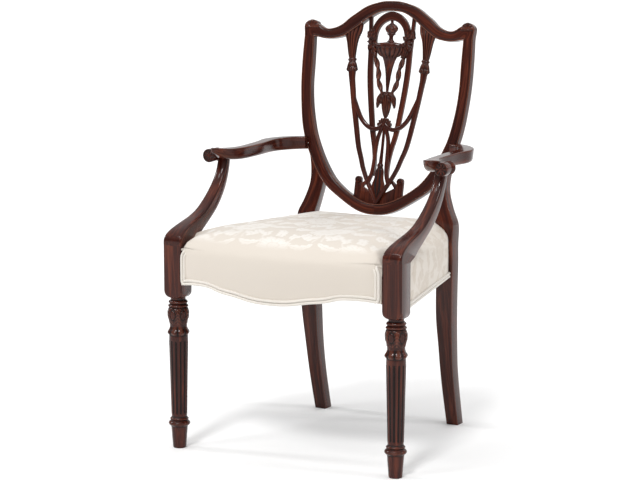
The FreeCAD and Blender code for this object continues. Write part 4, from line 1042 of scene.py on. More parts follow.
def leg_relief(angle, r, h):
    """Flutes, the leaf collar and the carved vase of the front leg."""
    sector = 2 * np.pi / FLUTES
    local = (angle / sector) % 1.0 - 0.5
    side = (np.abs(local) * sector) * r
    past = np.maximum(np.maximum(80.0 - h, h - 240.5), 0)
    inside = np.maximum(FLUTE_R ** 2 - side ** 2 - past ** 2, 0) ** 0.5 - FLUTE_OUT
    flute = np.maximum(inside, 0) * ((h > 70) & (h < 250))
    collar = smoothstep((h - 254.5) / 2) * smoothstep((278 - h) / 6)
    petal = np.abs(np.cos(4 * angle + 0.35))
    tips = 1 - petal ** 0.4
    turned_out = -1.5 * petal * bell(h, 260.5, 3.6)
    vase = smoothstep((h - 277) / 5) * smoothstep((317 - h) / 3)
    sixth = 2 * np.pi / 6
    place = ((angle / sixth) % 1.0 - 0.5) * sixth * VASE_R
    oval = np.sqrt((place / 6.2) ** 2 + ((h - 300.5) / 11.0) ** 2)
    rim = bell(oval, 1.05, 0.2)
    bowl = 0.8 * smoothstep((0.85 - oval) * 3)
    slant = np.pi * (h - 276) / 7.5 - 2.2 * np.abs(place) / 6
    sprays = (1 - np.abs(np.sin(slant)) ** 0.5) * (oval > 1.15)
    stem = bell(np.abs(np.abs(place) - 12.0), 0, 1.4) * (oval > 1.1)
    cut = flute + collar * (2.0 * tips + turned_out)
    cut = cut + vase * (1.6 * rim + 1.0 * bowl + 1.2 * sprays - 0.9 * stem)
    # Painted shade in the flutes, petal gaps and vase carving, with ridges lightened for wear and painted
    # highlight.
    painted_light_and_wear = -0.6 * np.minimum(flute, 1.4) - collar * (1.6 * tips - 0.5 * petal)
    painted_light_and_wear = painted_light_and_wear + vase * (0.35 - 1.2 * rim - 0.6 * bowl - 1.1 * sprays + 0.3 * stem)
    # Beads lightened for wear and painted highlight, nips darkened with painted shade.
    beads = sum(bell(h, *one) for one in LEG_BEADS)
    nips = sum(bell(h, *one) for one in LEG_NIPS) + 0.8 * bell(h, 254.4, 1.3)
    return cut, painted_light_and_wear + 0.4 * beads - 0.9 * nips


BLOCK_ROWS = [
    (15, 338), (20, 338.8), (24, 340.6), (27, 343.4), (29.2, 346.8), (30.4, 350.6), (31.2, 354.6), (33, 359),
    (33, 375), (33, 395), (33, 415), (33, 435), (33, 450), (33, BLOCK_TOP + 0.5),
]


def front_leg():
    shape = Shape()

    def put(u, v, h):
        return np.stack([FRONT_LEG_X + u, FRONT_LEG_Y + v, h], -1)
    turn(shape, FOOT_PROFILE, 192, put, leg_relief, 1.0)
    rows = np.array(BLOCK_ROWS, float)
    limit = rows[:, 0:1]
    z = rows[:, 1:2]
    u, v, painted_light_and_wear = post_section(HALF_BLOCK + 0 * z, 2 * HALF_BLOCK + 0 * z, 0 * z)
    v = HALF_BLOCK - v
    far = np.hypot(u, v)
    keep = np.minimum(1.0, limit / far)
    # Edges lightened for wear and painted highlight where the block's corners are turned off.
    turned = (keep < 1) * bell(limit - far, 0, 2.5) * 0.5
    grain = np.stack([z + 0 * u, u, v], -1)
    shape.grid(put(u * keep, v * keep, z + 0 * u), grain, painted_light_and_wear + turned)
    return shape


SUPPORT_ROWS = [
    ((-186.6, 15), (-140.6, 15), 23, 0), ((-187, 27), (-133, 17.5), 22.5, 0),
    ((-178, 42), (-118, 22), 21.5, 0), ((-150, 55), (-98, 31.5), 19, 0),
    ((-121, 63.5), (-77, 42), 17, 0.5), ((-96, 70.5), (-57, 53), 15.8, 1), ((-68, 82), (-36, 65), 14.8, 1.5),
    ((-42, 98.5), (-14, 80), 14, 2), ((-19, 117), (8, 100), 13.2, 2.5), ((3, 139), (28, 125), 12.5, 3),
    ((19, 162), (42, 152), 12, 3.5), ((29, 187), (51, 185), 12, 4), ((33, 201), (54, 199), 10.5, 4),
]


ARRIS = 3.2
QUIRK = 0.9
FULLNESS = 7.0


def post_section(half, deep, easing):
    """Section of the leg block (easing 0) and of the swept support (easing 1): u across, v forwards."""
    quarter = np.linspace(0, np.pi / 2, 7)
    flat = np.linspace(1, -1, 13)[1:-1]
    turned = ARRIS * (1 - np.cos(quarter))
    box_u = np.concatenate([half - turned, flat * (half - ARRIS), turned[::-1] - half], 1)
    rise = ARRIS * np.sin(quarter)
    box_v = deep - ARRIS + np.concatenate([rise, np.full(11, ARRIS), rise[::-1]])[None]
    t = np.linspace(0, np.pi, 25)[None]
    full_u = (half - QUIRK) * np.sign(np.cos(t)) * np.abs(np.cos(t)) ** 0.72
    full_v = deep - FULLNESS + FULLNESS * np.abs(np.sin(t)) ** 0.8
    us = [box_u * (1 - easing) + full_u * easing]
    vs = [box_v * (1 - easing) + full_v * easing]
    edge = deep - ARRIS * (1 - easing) - FULLNESS * easing
    # Painted shade along the quirks beside the front, and side edges lightened for wear and painted
    # highlight.
    lit = [bell(np.abs(np.cos(t[0])), 1.0, 0.02) * -0.8]
    side_u = np.concatenate([half, half, half, half - 0.4, half - 1.8, half - 4], 1)
    side_v = np.concatenate([edge - 0.5, edge - 1.6, edge - 5.0, 0 * deep + 3.6, 0 * deep + 0.9, 0 * deep], 1)
    side_light_and_wear = np.array([0.9, 0.3, 0.0, 0.1, 0.5, 0.0])
    us += [-side_u, side_u[:, ::-1]]
    vs += [side_v, side_v[:, ::-1]]
    lit += [side_light_and_wear, side_light_and_wear[::-1]]
    painted_light_and_wear = np.concatenate(lit)[None] * (0.25 + 0.75 * easing)
    return np.concatenate(us, 1), np.concatenate(vs, 1), painted_light_and_wear


def arm_support():
    """Swept support: flat sides, a fine quirk and a full, polished front."""
    rows = dense([(*f, *b, half, lean) for f, b, half, lean in SUPPORT_ROWS], 4.0, 4)
    f = rows[:, 0:2]
    b = rows[:, 2:4]
    deep = np.linalg.norm(f - b, axis=1)[:, None]
    run = (f - b) / deep
    easing = smoothstep((run_along(f) - 8) / 34)[:, None]
    u, v, painted_light_and_wear = post_section(rows[:, 4:5], deep, easing)
    y = b[:, 0:1] + run[:, 0:1] * v
    z = RAIL_TOP + b[:, 1:2] + run[:, 1:2] * v
    x = FRONT_LEG_X + rows[:, 5:6] + u
    along = run_along((f + b) / 2)
    grain = np.stack([np.broadcast_to(along[:, None], u.shape), u, v], -1)
    shape = Shape()
    shape.grid(np.stack([x, y, z], -1), grain, painted_light_and_wear)
    return shape


ARM_ROWS = [
    ((186, 261), (188, 291), -22, 7.5), ((204, 254), (213, 281.5), -23, 7.2),
    ((220, 238), (240, 262), -24, 6.5), ((231, 217), (260, 235), -25, 5.3),
    ((234, 194), (267, 203), -26, 4), ((233, 174), (263, 180), -26.5, 3),
    ((230.5, 150), (259, 153), -27, 2), ((229.5, 118), (257.2, 118), -28, 0.5),
    ((230.5, 85), (256, 84), -29, -0.8), ((232, 60), (260, 58), -29, -1.5), ((235.5, 38),
    (271, 38), -28, -1.8),
    ((240, 18), (280, 20), -25, -1.2), ((247, 0), (281, 4), -19, 0.5), ((254, -12), (276, -9), -13, 2),
    ((261, -19), (271, -18), -7, 2), ((264, -21), (268, -21), -2, 1.6),
]


ARM_TUCK = 0.10


def arm():
    """Arm that runs forward from the back post into a flat hand rest, fuller below than above."""
    rows = dense([(*inner, *outer, low, high) for inner, outer, low, high in ARM_ROWS], 4.0, 4)
    inner = rows[:, 0:2]
    outer = rows[:, 2:4]
    low = ARM_Z + rows[:, 4:5]
    high = ARM_Z + rows[:, 5:6]
    across = outer - inner
    tuck = across * ARM_TUCK
    ends = ((inner + tuck, low), (outer - tuck, low), (outer, high), (inner, high))
    corners = np.stack([np.concatenate(end, 1) for end in ends], 1)
    shape = Shape()
    loft(shape, corners, (9.0, 9.0, 3.6, 3.6), 6, 0.4)
    return shape


SCROLL_X = 289.2
SCROLL_Y = 0.5
SCROLL_Z = 634.0
SCROLL_SWELL = 1.08
SCROLL_PROFILE = [
    (0.3, -1.8), (2.2, -1.4), (3.2, 0.2), (4, 0.2), (5, -0.2), (10.4, -0.2), (11, 0.6), (11.6, -0.4),
    (12.8, -0.4), (14, 1.2), (14.2, 8), (13.8, 20), (12.8, 25), (9.5, 28.5, 9.6, 33), (14.2, 41, 8, 51),
    (3, 53), (0.3, 53.4),
]


def arm_scroll():
    """Turned scroll under the hand rest, with a rosette on its front face."""
    shape = Shape()

    def put(u, v, h):
        return np.stack([SCROLL_X + u * SCROLL_SWELL, SCROLL_Y + h, SCROLL_Z + v * SCROLL_SWELL], -1)

    def relief(angle, r, h):
        face = (h < 1.0) * smoothstep((r - 3.6) / 1.2) * smoothstep((11.0 - r) / 1.0)
        petal = 1 - np.abs(np.cos(4 * angle)) ** 0.5
        dish = smoothstep((r - 4) / 2) * (1 - smoothstep((r - 8) / 3))
        rim = bell(r, 11.2, 0.5) * (h < 2)
        neck = bell(h, 28.5, 2.5)
        # Painted shade in the rosette's petal cuts, the rim groove and the neck.
        return face * (1.7 * petal + 0.5 * dish), face * (0.2 - 1.9 * petal) - 0.8 * rim - 0.5 * neck
    turn(shape, SCROLL_PROFILE, 96, put, relief, 0.7)
    return shape


# Seat cushion


SIDE_X = 270.0
SIDE_FROM_Y = -84.0
FRONT_BOW = 38.0


def side_x(y, in_by=0.0):
    """Half width of the seat at y, for a line that lies in_by inside its edge."""
    return SIDE_X - SIDE_TAPER * (y - SIDE_FROM_Y) - in_by * math.hypot(1.0, SIDE_TAPER)


def front_y(x, in_by=0.0):
    """Bowed front of the seat at x, for a line that lies in_by behind it."""
    span = np.minimum(np.abs(x) / LEG_INNER_X, 1.0)
    return FRONT_LEG_Y - HALF_BLOCK - FRONT_BOW * (1 - span * span) + in_by


HEM = [(0, -5.0), (48, -2.5), (96, 5.5), (128, 9.5), (157, 16.5), (185, 18), (212, 17), (250, 11.5)]
HEM_END = 250


def hem_rise(x):
    """Height of the shaped front hem above the rail's lower edge."""
    line = np.array([(-x, z) for x, z in HEM[::-1]] + HEM[1:], float)
    at = np.clip(x, -HEM_END, HEM_END)
    return cubic(line[:, 0], line[:, 1:2], np.atleast_1d(at))[:, 0]


# Height of the crown above the border and how far it has drawn in there
CROWN = [
    (0.0, 0.0), (8.0, 1.0), (18.0, 5.5), (28.0, 14.0), (37.0, 27.0), (46.0, 48.0), (53.0, 78.0),
    (57.5, 112.0), (59.6, 140.0),
]
RING_FRONT = 100
RING_NOTCH = 16
RING_SIDE = 150
RING_REAR = 24
RING_BACK = 60
BLOCK_CLEARANCE = 0.4
NOTCH_BEHIND = 0.5


def piece_line(a, b, count):
    """Points from a towards b, without b itself."""
    t = np.arange(count)[:, None] / count
    return np.array(a, float) * (1 - t) + np.array(b, float) * t


def seat_ring(in_by, notched):
    """Plan outline of the cushion, from the middle of the front round the right side and the back to the
    left; notched round the leg blocks, or rounded at the corners where it draws in."""
    y_front = float(front_y(LEG_INNER_X)) + in_by
    x_front = np.linspace(0, 1, RING_FRONT + 1)
    round_by = min(in_by * 1.3, 90.0)
    if notched:
        reach = LEG_INNER_X - BLOCK_CLEARANCE
        x = x_front * reach
        arc = np.stack([x, front_y(x, in_by)], 1)
        notch_y = LEG_BACK_Y + NOTCH_BEHIND
        side_from = (side_x(notch_y, in_by), notch_y)
        inward = piece_line(arc[-1], (reach, notch_y), RING_NOTCH)
        turning = np.vstack([inward, piece_line((reach, notch_y), side_from, RING_NOTCH)])
    else:
        tip = np.array([side_x(y_front, in_by), y_front])
        x = x_front * (tip[0] - round_by)
        arc = np.stack([x, front_y(x, in_by)], 1)
        side_from = (side_x(y_front + round_by, in_by), y_front + round_by)
        total = 2 * RING_NOTCH
        t = np.arange(total)[:, None] / total
        turning = quadratic(arc[-1], tip, np.array(side_from), t)
    back_y = SEAT_BACK_Y - in_by
    notch_y = min(REAR_NOTCH_Y, back_y)
    rear_x = min(REAR_NOTCH_X, side_x(back_y, in_by) - 4)
    side_to = (side_x(notch_y, in_by), notch_y)
    rear = (rear_x, notch_y)
    ease = min(round_by, 60.0)
    side = corner_blend(piece_line(side_from, side_to, RING_SIDE), side_to, rear, ease)
    rear_a = corner_blend(piece_line(side_to, rear, RING_REAR), side_to, side_from, ease)
    rear_b = piece_line(rear, (rear_x, back_y), RING_REAR)
    back = piece_line((rear_x, back_y), (0, back_y), RING_BACK)
    right = np.vstack([arc[:-1], turning, side, rear_a, rear_b, back, [(0, back_y)]])
    left = right[1:-1][::-1] * (-1, 1)
    return np.vstack([right, left])


def corner_blend(points, corner, other, reach):
    """Pulls the points of a straight edge near a corner inwards, as a round corner would."""
    corner = np.array(corner, float)
    way = np.array(other, float) - corner
    long = np.linalg.norm(way)
    if reach <= 1 or long < 1e-6:
        return points
    distance = np.linalg.norm(points - corner, axis=1)
    share = np.clip(1 - distance / reach, 0, 1)
    push = 0.25 * share ** 2 * min(reach, long)
    return points + (way / long) * push[:, None]


BORDER_TOP = RAIL_TOP + 1.5
DECK_Z = RAIL_TOP + 5.0
COVER_THICK = 5.7
HEM_TURN = [(3.0, 0.2), (0.9, 0.3), (0.2, 1.2)]
INSIDE_MIDDLE = np.array([0.0, 30.0])
SEAT_MIDDLE = np.array([0.0, 40.0])
MIDDLE_R = 110.0
MIDDLE_RISE = 1.6


def hem_heights(ring):
    """Lower edge of the cover round a ring, shaped along the front and beside the leg blocks."""
    x, y = ring.T
    on_front = np.abs(y - front_y(x)) < 1.0
    by_block = (np.abs(x) > LEG_INNER_X - 3.0) & (y < LEG_BACK_Y + 1.0)
    return np.where(on_front | by_block, RAIL_BOTTOM + hem_rise(x), RAIL_BOTTOM)


def cushion_shape():
    """Rings from inside the frame, down, round the hem, up the border, over the crown and to the middle."""
    border = seat_ring(0.0, True)
    inner = seat_ring(COVER_THICK, True)
    hem = hem_heights(border)
    rows = [(INSIDE_MIDDLE + (inner - INSIDE_MIDDLE) * share, DECK_Z) for share in (0.15, 0.6, 1.0)]
    for share in np.linspace(0, 1, 6)[1:]:
        rows.append((inner, DECK_Z + (hem + 1.0 - DECK_Z) * share))
    for in_by, rise in HEM_TURN:
        rows.append((seat_ring(in_by, True), hem + rise))
    for share in np.linspace(0, 1, 42)[1:]:
        rows.append((border, hem + (BORDER_TOP - hem) * share))
    for rise, in_by in dense(CROWN, 2.0)[1:]:
        z = BORDER_TOP + rise
        rows.append((seat_ring(in_by, z < BLOCK_TOP), z))
    last, top = rows[-1]
    spoke = last - SEAT_MIDDLE
    circle = spoke / np.linalg.norm(spoke, axis=1)[:, None] * MIDDLE_R
    for share in np.linspace(1, 0, 56)[1:-1]:
        even = smoothstep((1 - share) / 0.85)
        ring = SEAT_MIDDLE + (spoke * (1 - even) + circle * even) * share
        rows.append((ring, top + MIDDLE_RISE * (1 - share ** 2)))
    rings = np.array([ring for ring, _ in rows])
    heights = np.array([np.broadcast_to(z, len(hem)) for _, z in rows])
    return np.concatenate([rings, heights[..., None]], 2)


def lattice(points, spacing):
    """Nearest centre of a half-drop repeat, and the place measured from it."""
    wide, tall = spacing
    best = None
    for shift in (0.0, 0.5):
        cell = np.stack([np.round(points[..., 0] / wide - shift) + shift,
                         np.round(points[..., 1] / tall - shift) + shift], -1)
        local = points - cell * (wide, tall)
        far = (local ** 2).sum(-1)
        if best is None:
            best = (far, local)
        else:
            nearer = far < best[0]
            best = (np.where(nearer, far, best[0]), np.where(nearer[..., None], local, best[1]))
    return best[1]


def soft_edge(value, width=0.12):
    return smoothstep(value / width + 0.5)


def flower(local, size, petals, turn_by=0.0):
    """Open blossom with notched petals, veins and a ringed heart."""
    r = np.hypot(local[..., 0], local[..., 1]) / size
    angle = np.arctan2(local[..., 1], local[..., 0]) + turn_by
    rim = 0.78 + 0.2 * np.abs(np.cos(petals * angle / 2)) ** 0.6 + 0.04 * np.cos(petals * 3 * angle)
    body = soft_edge(rim - r, 0.05)
    veins_in = bell(np.sin(petals * angle / 2), 0, 0.16) * (r > 0.3) * (r < 0.75)
    heart = soft_edge(0.26 - r, 0.05) * (0.4 + 0.6 * (np.cos(9 * r * 6) > 0))
    ring = bell(r, 0.34, 0.035) + bell(r, rim - 0.12, 0.03)
    return np.clip(body - 0.75 * veins_in - 0.8 * np.clip(ring, 0, 1) - 0.3 * heart, 0, 1)


def spray(local, start, end, bend, width, lobes):
    """Curved acanthus spray from start to end: lobed edge, middle vein and side cuts."""
    start = np.array(start, float)
    end = np.array(end, float)
    way = end - start
    long = np.linalg.norm(way)
    way = way / long
    side = np.array([-way[1], way[0]])
    along = ((local - start) @ way) / long
    inside = (along > 0) & (along < 1)
    t = np.clip(along, 0, 1)
    off = (local - start) @ side - bend * np.sin(np.pi * t)
    lobe = np.abs(np.sin(np.pi * lobes * (t + 0.08 * np.abs(off) / width)))
    half = width * np.sin(np.pi * t ** 0.8) ** 0.7 * (0.58 + 0.42 * lobe ** 0.7)
    body = soft_edge((half - np.abs(off)) / width, 0.08) * inside
    vein = bell(off / width, 0, 0.07) * inside
    return np.clip(body - 0.9 * vein, 0, 1)


SPRAYS = [
    ((24, 30), (66, 70), 13, 13, 4), ((30, 4), (72, 18), -9, 11, 4), ((24, -24), (60, -62), -11, 13, 4),
    ((4, 38), (10, 88), 8, 11, 5), ((5, -36), (22, -80), 7, 10, 4),
]


def damask_figure(plan):
    """Woven figure at unrolled cloth points in mm: blossoms on a half drop with sprays and stems between."""
    warp = 5.0 * np.sin(plan[..., ::-1] / 23.0) + 2.0 * np.sin(plan[..., ::-1] / 9.0 + 1.0)
    local = lattice(plan + warp, (150.0, 190.0))
    fold = np.stack([np.abs(local[..., 0]), local[..., 1]], -1)
    value = flower(local, 33.0, 8, math.pi / 8)
    for one in SPRAYS:
        value = np.maximum(value, spray(fold, *one))
    value = np.maximum(value, flower(fold - (44, -88), 14.0, 5))
    value = np.maximum(value, flower(fold - (58, 44), 12.0, 5))
    stem = bell(fold[..., 0] - 18 - 14 * np.sin(fold[..., 1] / 30.0), 0, 1.5)
    return np.clip(np.maximum(value, 0.7 * stem), 0, 1)


CLOTH_ANGLE = 50.0
BULGE = 6.0
BULGE_Z = 422.0
BULGE_TALL = 44.0
PULL_SOFT = 4.0
CORNER_TUCK = 5.0
GATHER = 1.4
GATHER_FOLDS = 16.0
TOP_EDGE = RAIL_TOP + 56.0
FIGURE_SCALE = 1.3
FIGURE_SHIFT = (14.0, -30.0)


def from_post(x, y):
    """Plan distance from the arm support's foot."""
    out_x = np.maximum(LEG_INNER_X - np.abs(x), 0)
    out_y = np.maximum(y - LEG_BACK_Y, 0)
    return np.hypot(out_x, out_y)


def shape_cushion(points):
    """Swells the border, pulls the crown down beside the supports and gives the top a slight unevenness."""
    x, y, z = points[..., 0], points[..., 1], points[..., 2]
    tangent = np.roll(points[..., :2], -1, 1) - np.roll(points[..., :2], 1, 1)
    tangent /= np.maximum(np.linalg.norm(tangent, axis=2, keepdims=True), 1e-6)
    outward = np.stack([tangent[..., 1], -tangent[..., 0]], -1)
    near = from_post(x, y)
    past_notch = np.maximum(np.abs(x) - REAR_NOTCH_X, 0) * (y > REAR_NOTCH_Y)
    rear = np.hypot(np.maximum(REAR_NOTCH_Y - y, 0), past_notch)
    free = smoothstep((near - 3) / 45.0) * smoothstep(rear / 40.0)
    swell = BULGE * bell(z, BULGE_Z, BULGE_TALL) * free
    outer = smoothstep((np.hypot(x / 245.0, (y - 35) / 225.0) - 0.55) / 0.2)
    points[..., :2] += outward * (swell * outer)[..., None]
    rises = np.array(CROWN)
    limit = BORDER_TOP + 1.0 + np.interp(near, rises[:, 1], rises[:, 0])
    above = z > BORDER_TOP
    free_part = np.exp(-(z - BORDER_TOP) / PULL_SOFT)
    held_part = np.exp(-(limit - BORDER_TOP) / PULL_SOFT)
    pulled = -PULL_SOFT * np.log(free_part + held_part) + BORDER_TOP
    points[..., 2] = np.where(above, np.minimum(pulled, z), z)
    corner = bell(near, 0.0, 8.0) * smoothstep((z - 426.0) / 14.0) * (y < LEG_BACK_Y)
    points[..., 1] += CORNER_TUCK * corner
    wobble = 0.7 * np.sin(x / 47.0 + 1.3) * np.sin(y / 39.0) + 0.4 * np.sin(x / 23.0) * np.cos(y / 31.0 + 0.5)
    points[..., 2] += wobble * smoothstep((z - 470.0) / 20.0)
    gather = bell(near, 10.0, 12.0) * smoothstep((z - 440.0) / 8.0) * smoothstep((500.0 - z) / 15.0)
    round_post = np.arctan2(y - LEG_BACK_Y, LEG_INNER_X - np.abs(x))
    points[..., 2] -= GATHER * gather * (0.5 + 0.5 * np.sin(round_post * GATHER_FOLDS))
    return outward


def cloth_tone_and_light(points, outward):
    """Tone of the cover, 0 dull to 1 bright, with painted light: light blossoms on the top and dull leaves
    down the sides, a swap painted for how light falls on the weave, and a plain darker front in painted
    shade.
    """
    z = points[..., 2]
    fall = np.maximum(TOP_EDGE - z, 0)
    plan = points[..., :2] + outward * fall[..., None]
    figure = damask_figure((plan + FIGURE_SHIFT) / FIGURE_SCALE)
    border = smoothstep((484.0 - z) / 16.0)
    front = smoothstep((-outward[..., 1] - 0.45) / 0.35) * border
    side = smoothstep((np.abs(outward[..., 0]) - 0.5) / 0.3) * border
    # Painted light: the figure is bright on the top and dark down the sides, and the front is a plain darker
    # tone.
    on_top = 0.36 + 0.64 * figure
    on_side = 0.36 - 0.36 * figure
    tone_and_light = on_top * (1 - side) + on_side * side
    return tone_and_light * (1 - front) + 0.32 * front


def build_cushion():
    """Cover of the cushion with the woven figure and its painted light on it."""
    points = cushion_shape()
    outward = shape_cushion(points)
    tone_and_light = cloth_tone_and_light(points, outward)
    shape = Shape()
    shape.grid(points, points.copy(), 0.0)
    cover = make_piece("seat_cushion_cover", shape, ["seat_cushion"], damask, CLOTH_ANGLE)
    held = cover.data.attributes.new("figure", "FLOAT", "POINT")
    held.data.foreach_set("value", tone_and_light.astype(np.float32).ravel())


CORD_R = 3.3
CORD_GAP = 6.8
CORD_FLAT = 4.0


def cord_rings(middle, along_face, out):
    """Double cord section at each point: two round lobes with a sewn valley between them."""
    ring = []
    painted_light_and_wear = []
    for lobe in (-1, 1):
        for i in range(13):
            angle = math.radians(-105 + 17.5 * i)
            across = lobe * CORD_GAP / 2 + CORD_R * math.sin(angle)
            ring.append(middle + along_face * across + out * (1.0 + CORD_R * 1.15 * math.cos(angle)))
            from_valley = i if lobe > 0 else 12 - i
            # The points in the valley and on the outer edges get painted shade.
            painted_light_and_wear.append(-1.0 if from_valley < 2 or from_valley > 11 else 0.0)
    ring.append(middle + along_face * CORD_FLAT)
    ring.append(middle - along_face * CORD_FLAT)
    return np.stack(ring, 1), np.array(painted_light_and_wear + [0.0, 0.0])


def welt(name, path, along_face, out, node):
    """One length of double cord along a path."""
    ring, painted_light_and_wear = cord_rings(path, along_face, out)
    along = run_along(path)
    u = np.broadcast_to(np.arange(ring.shape[1])[None] * 1.2, ring.shape[:2])
    grain = np.stack([np.broadcast_to(along[:, None], u.shape), u, 0 * u], -1)
    shape = Shape()
    shape.grid(ring, grain, painted_light_and_wear[None])
    piece = make_piece(name, shape, [node], cord, 60.0)


def rounded_path(points, reach, step):
    """Plane path whose sharp corners are rounded."""
    out = [np.array(points[0], float)]
    for before, here, after in zip(points, points[1:], points[2:]):
        here = np.array(here, float)
        a = np.array(before, float) - here
        b = np.array(after, float) - here
        ra = min(reach, np.linalg.norm(a) * 0.5)
        rb = min(reach, np.linalg.norm(b) * 0.5)
        start = here + a / np.linalg.norm(a) * ra
        end = here + b / np.linalg.norm(b) * rb
        out.extend(quadratic(start, here, end, t) for t in np.linspace(0, 1, 5))
    out.append(np.array(points[-1], float))
    return straight(out, step)


WELT_EDGE_X = 243.5
WELT_BACK_Y = 253.4
RISER_TOP = RAIL_TOP + 9.0
RISER_BEND = 14.0
RISER_LEAN = 8.0


def build_welts():
    """Front cord along the shaped hem and up both leg blocks, and a straight cord down each side."""
    rise = CORD_GAP / 2 + CORD_R
    edge = WELT_EDGE_X - rise
    xs = np.linspace(-edge, edge, 90)
    low = [(x, RAIL_BOTTOM + z + rise) for x, z in zip(xs, hem_rise(xs))]
    left = [(RISER_LEAN - edge, RISER_TOP), (-edge, RISER_TOP - RISER_BEND)]
    right = [(-x, z) for x, z in left[::-1]]
    path = rounded_path(left + low + right, 5.0, 2.5)
    run = np.gradient(path, axis=0)
    run /= np.linalg.norm(run, axis=1)[:, None]
    face = np.stack([-run[:, 1], 0 * run[:, 0], run[:, 0]], 1)
    tucked = np.maximum(path[:, 1] - (RAIL_TOP - 4.0), 0) ** 2 / 20.0
    middle = np.stack([path[:, 0], front_y(path[:, 0]) - 0.4 + tucked, path[:, 1]], 1)
    out = np.broadcast_to(np.array([0.0, -1.0, 0.0]), middle.shape)
    welt("welt_front_cord", middle, face, out, "welt_front")
    lean = math.atan(SIDE_TAPER)
    for side, name in ((1, "right"), (-1, "left")):
        ys = np.linspace(LEG_BACK_Y + 0.4, WELT_BACK_Y, 120)
        x = side_x(ys, -0.4) * side
        middle = np.stack([x, ys, np.full(len(ys), RAIL_BOTTOM + rise)], 1)
        face = np.broadcast_to(np.array([0.0, 0.0, 1.0]), middle.shape)
        out = np.broadcast_to(np.array([side * math.cos(lean), math.sin(lean), 0.0]), middle.shape)
        welt("welt_side_cord_" + name, middle, face, out, "welt_side_" + name)


# Webbing, deck and dust cover


def thin_plate(name, outline, low, thick, node, material, sag=0.0, lift=None):
    """Flat cloth from an outline of plan points, sagging a little in the middle; lift raises it at (x, y)."""
    outline = straight(np.vstack([outline, outline[:1]]), 8.0)[:-1]
    middle = outline.mean(0)
    rings = []
    for z, sides in ((low, np.linspace(0.05, 1, 16)), (low + thick, np.linspace(1, 0.05, 16))):
        for share in sides:
            ring = middle + (outline - middle) * share
            tall = np.full(len(ring), z - sag * (1 - share ** 2))
            if lift is not None:
                tall = tall + lift(ring[:, 0], ring[:, 1])
            rings.append(np.column_stack([ring, tall]))
    shape = Shape()
    rings = np.array(rings)
    shape.grid(rings, rings.copy(), 0.0)
    return make_piece(name, shape, [node], material, CLOTH_ANGLE)


WEB_HALF = 25.0
WEB_THICK = 1.8
WEBS_ACROSS = (-112.0, -48.0, 16.0, 80.0, 144.0, 208.0)
WEBS_ALONG = (-120.0, -60.0, 0.0, 60.0, 120.0)
WEB_BACK_Y = 279.0


def web(name, strip, low):
    """One webbing strip."""
    return thin_plate(name, strip, low, WEB_THICK, "seat_webbing", jute)


def build_webbing():
    for number, y in enumerate(WEBS_ACROSS, 1):
        reach = side_x(y + WEB_HALF, 11.0)
        y0, y1 = y - WEB_HALF, y + WEB_HALF
        strip = [(-reach, y0), (reach, y0), (reach, y1), (-reach, y1)]
        piece = web("webbing_across_%d" % number, strip, RAIL_TOP)
    for number, x in enumerate(WEBS_ALONG, 1):
        y0 = float(front_y(abs(x) + WEB_HALF, 11.0))
        x0, x1 = x - WEB_HALF, x + WEB_HALF
        strip = [(x0, y0), (x1, y0), (x1, WEB_BACK_Y), (x0, WEB_BACK_Y)]
        piece = web("webbing_along_%d" % number, strip, RAIL_TOP + WEB_THICK)


def build_deck():
    """Hessian over the webbing, cut round the front blocks and the back legs."""
    y0 = LEG_BACK_Y + 2.0
    y1 = 249.5
    half = [(x, float(front_y(x, in_by))) for x, in_by in ((0, 14), (120, 14), (242.7, 8))]
    half += [(242.7, y0), (side_x(y0, 8), y0), (side_x(y1, 8), y1), (152, y1), (152, 282)]
    deck = np.array(half + [(-x, y) for x, y in half[::-1] if x > 0])
    piece = thin_plate("seat_deck_hessian", deck, RAIL_TOP + 3.6, 1.0, "seat_deck", hessian)


def tacked_up(x, y):
    """Rise of the dust cover towards the shaped front hem."""
    return (hem_rise(x) + 1.0) * smoothstep((-70.0 - y) / 62.0) * (hem_rise(x) > 0)


def build_dust_cover():
    """Black cloth tacked under the rails."""
    y0 = LEG_BACK_Y + 3.0
    y1 = 248.5
    half = [(side_x(y0, 10), y0), (side_x(y1, 10), y1), (151, y1), (151, 281)]
    dust = np.array(half + [(-x, y) for x, y in half[::-1]])
    piece = thin_plate("dust_cover_cambric", dust, RAIL_BOTTOM + 3.2, 0.8, "dust_cover",
                       cambric, 1.5, tacked_up)


# Assembly


def pair(node, shape):
    """Right part and its mirror image on the left."""
    make_piece(node + "_right_carved", shape, [node + "_right"], mahogany)
    make_piece(node + "_left_carved", shape.mirrored(), [node + "_left"], mahogany)


def single(node, shape):
    make_piece(node + "_carved", shape, [node], mahogany)


pair("shield_side", shield_side())
single("crest_rail", crest())
pair("splat_outer_rib", outer_rib())
pair("splat_inner_rib", inner_rib())
pair("splat_small_rib", small_rib())
single("splat_arch", splat_arch())
single("splat_loop", splat_loop())
single("splat_urn", splat_urn())
pair("splat_swag", splat_swag())
single("splat_tassel", splat_tassel())
single("splat_half_rosette", half_rosette())
single("splat_shoe", splat_shoe())
single("splat_centre_leaf", centre_leaf())
pair("back_leg", back_leg())
pair("front_leg", front_leg())
pair("arm_support", arm_support())
pair("arm", arm())
pair("arm_scroll", arm_scroll())
build_cushion()
build_welts()
build_webbing()
build_deck()
build_dust_cover()

HIDDEN_WORK = {
    "rail_beech": (beech, ("side_rail_left", "side_rail_right", "front_rail", "rear_rail",
                           "front_corner_block_left", "front_corner_block_right",
                           "rear_corner_block_left", "rear_corner_block_right")),
    "dowel_beech": (dowel_wood, ("crest_dowels", "shield_mitre_dowel", "arm_support_dowels")),
    "screw_steel": (steel, ("corner_block_screws", "back_post_screws", "arm_screws")),
}
for slot_name, (finish, names) in HIDDEN_WORK.items():
    for node_name in names:
        node_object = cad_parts[node_name]
        node_object.data.materials.clear()
        node_object.data.materials.append(finish)


# Floor, light and camera


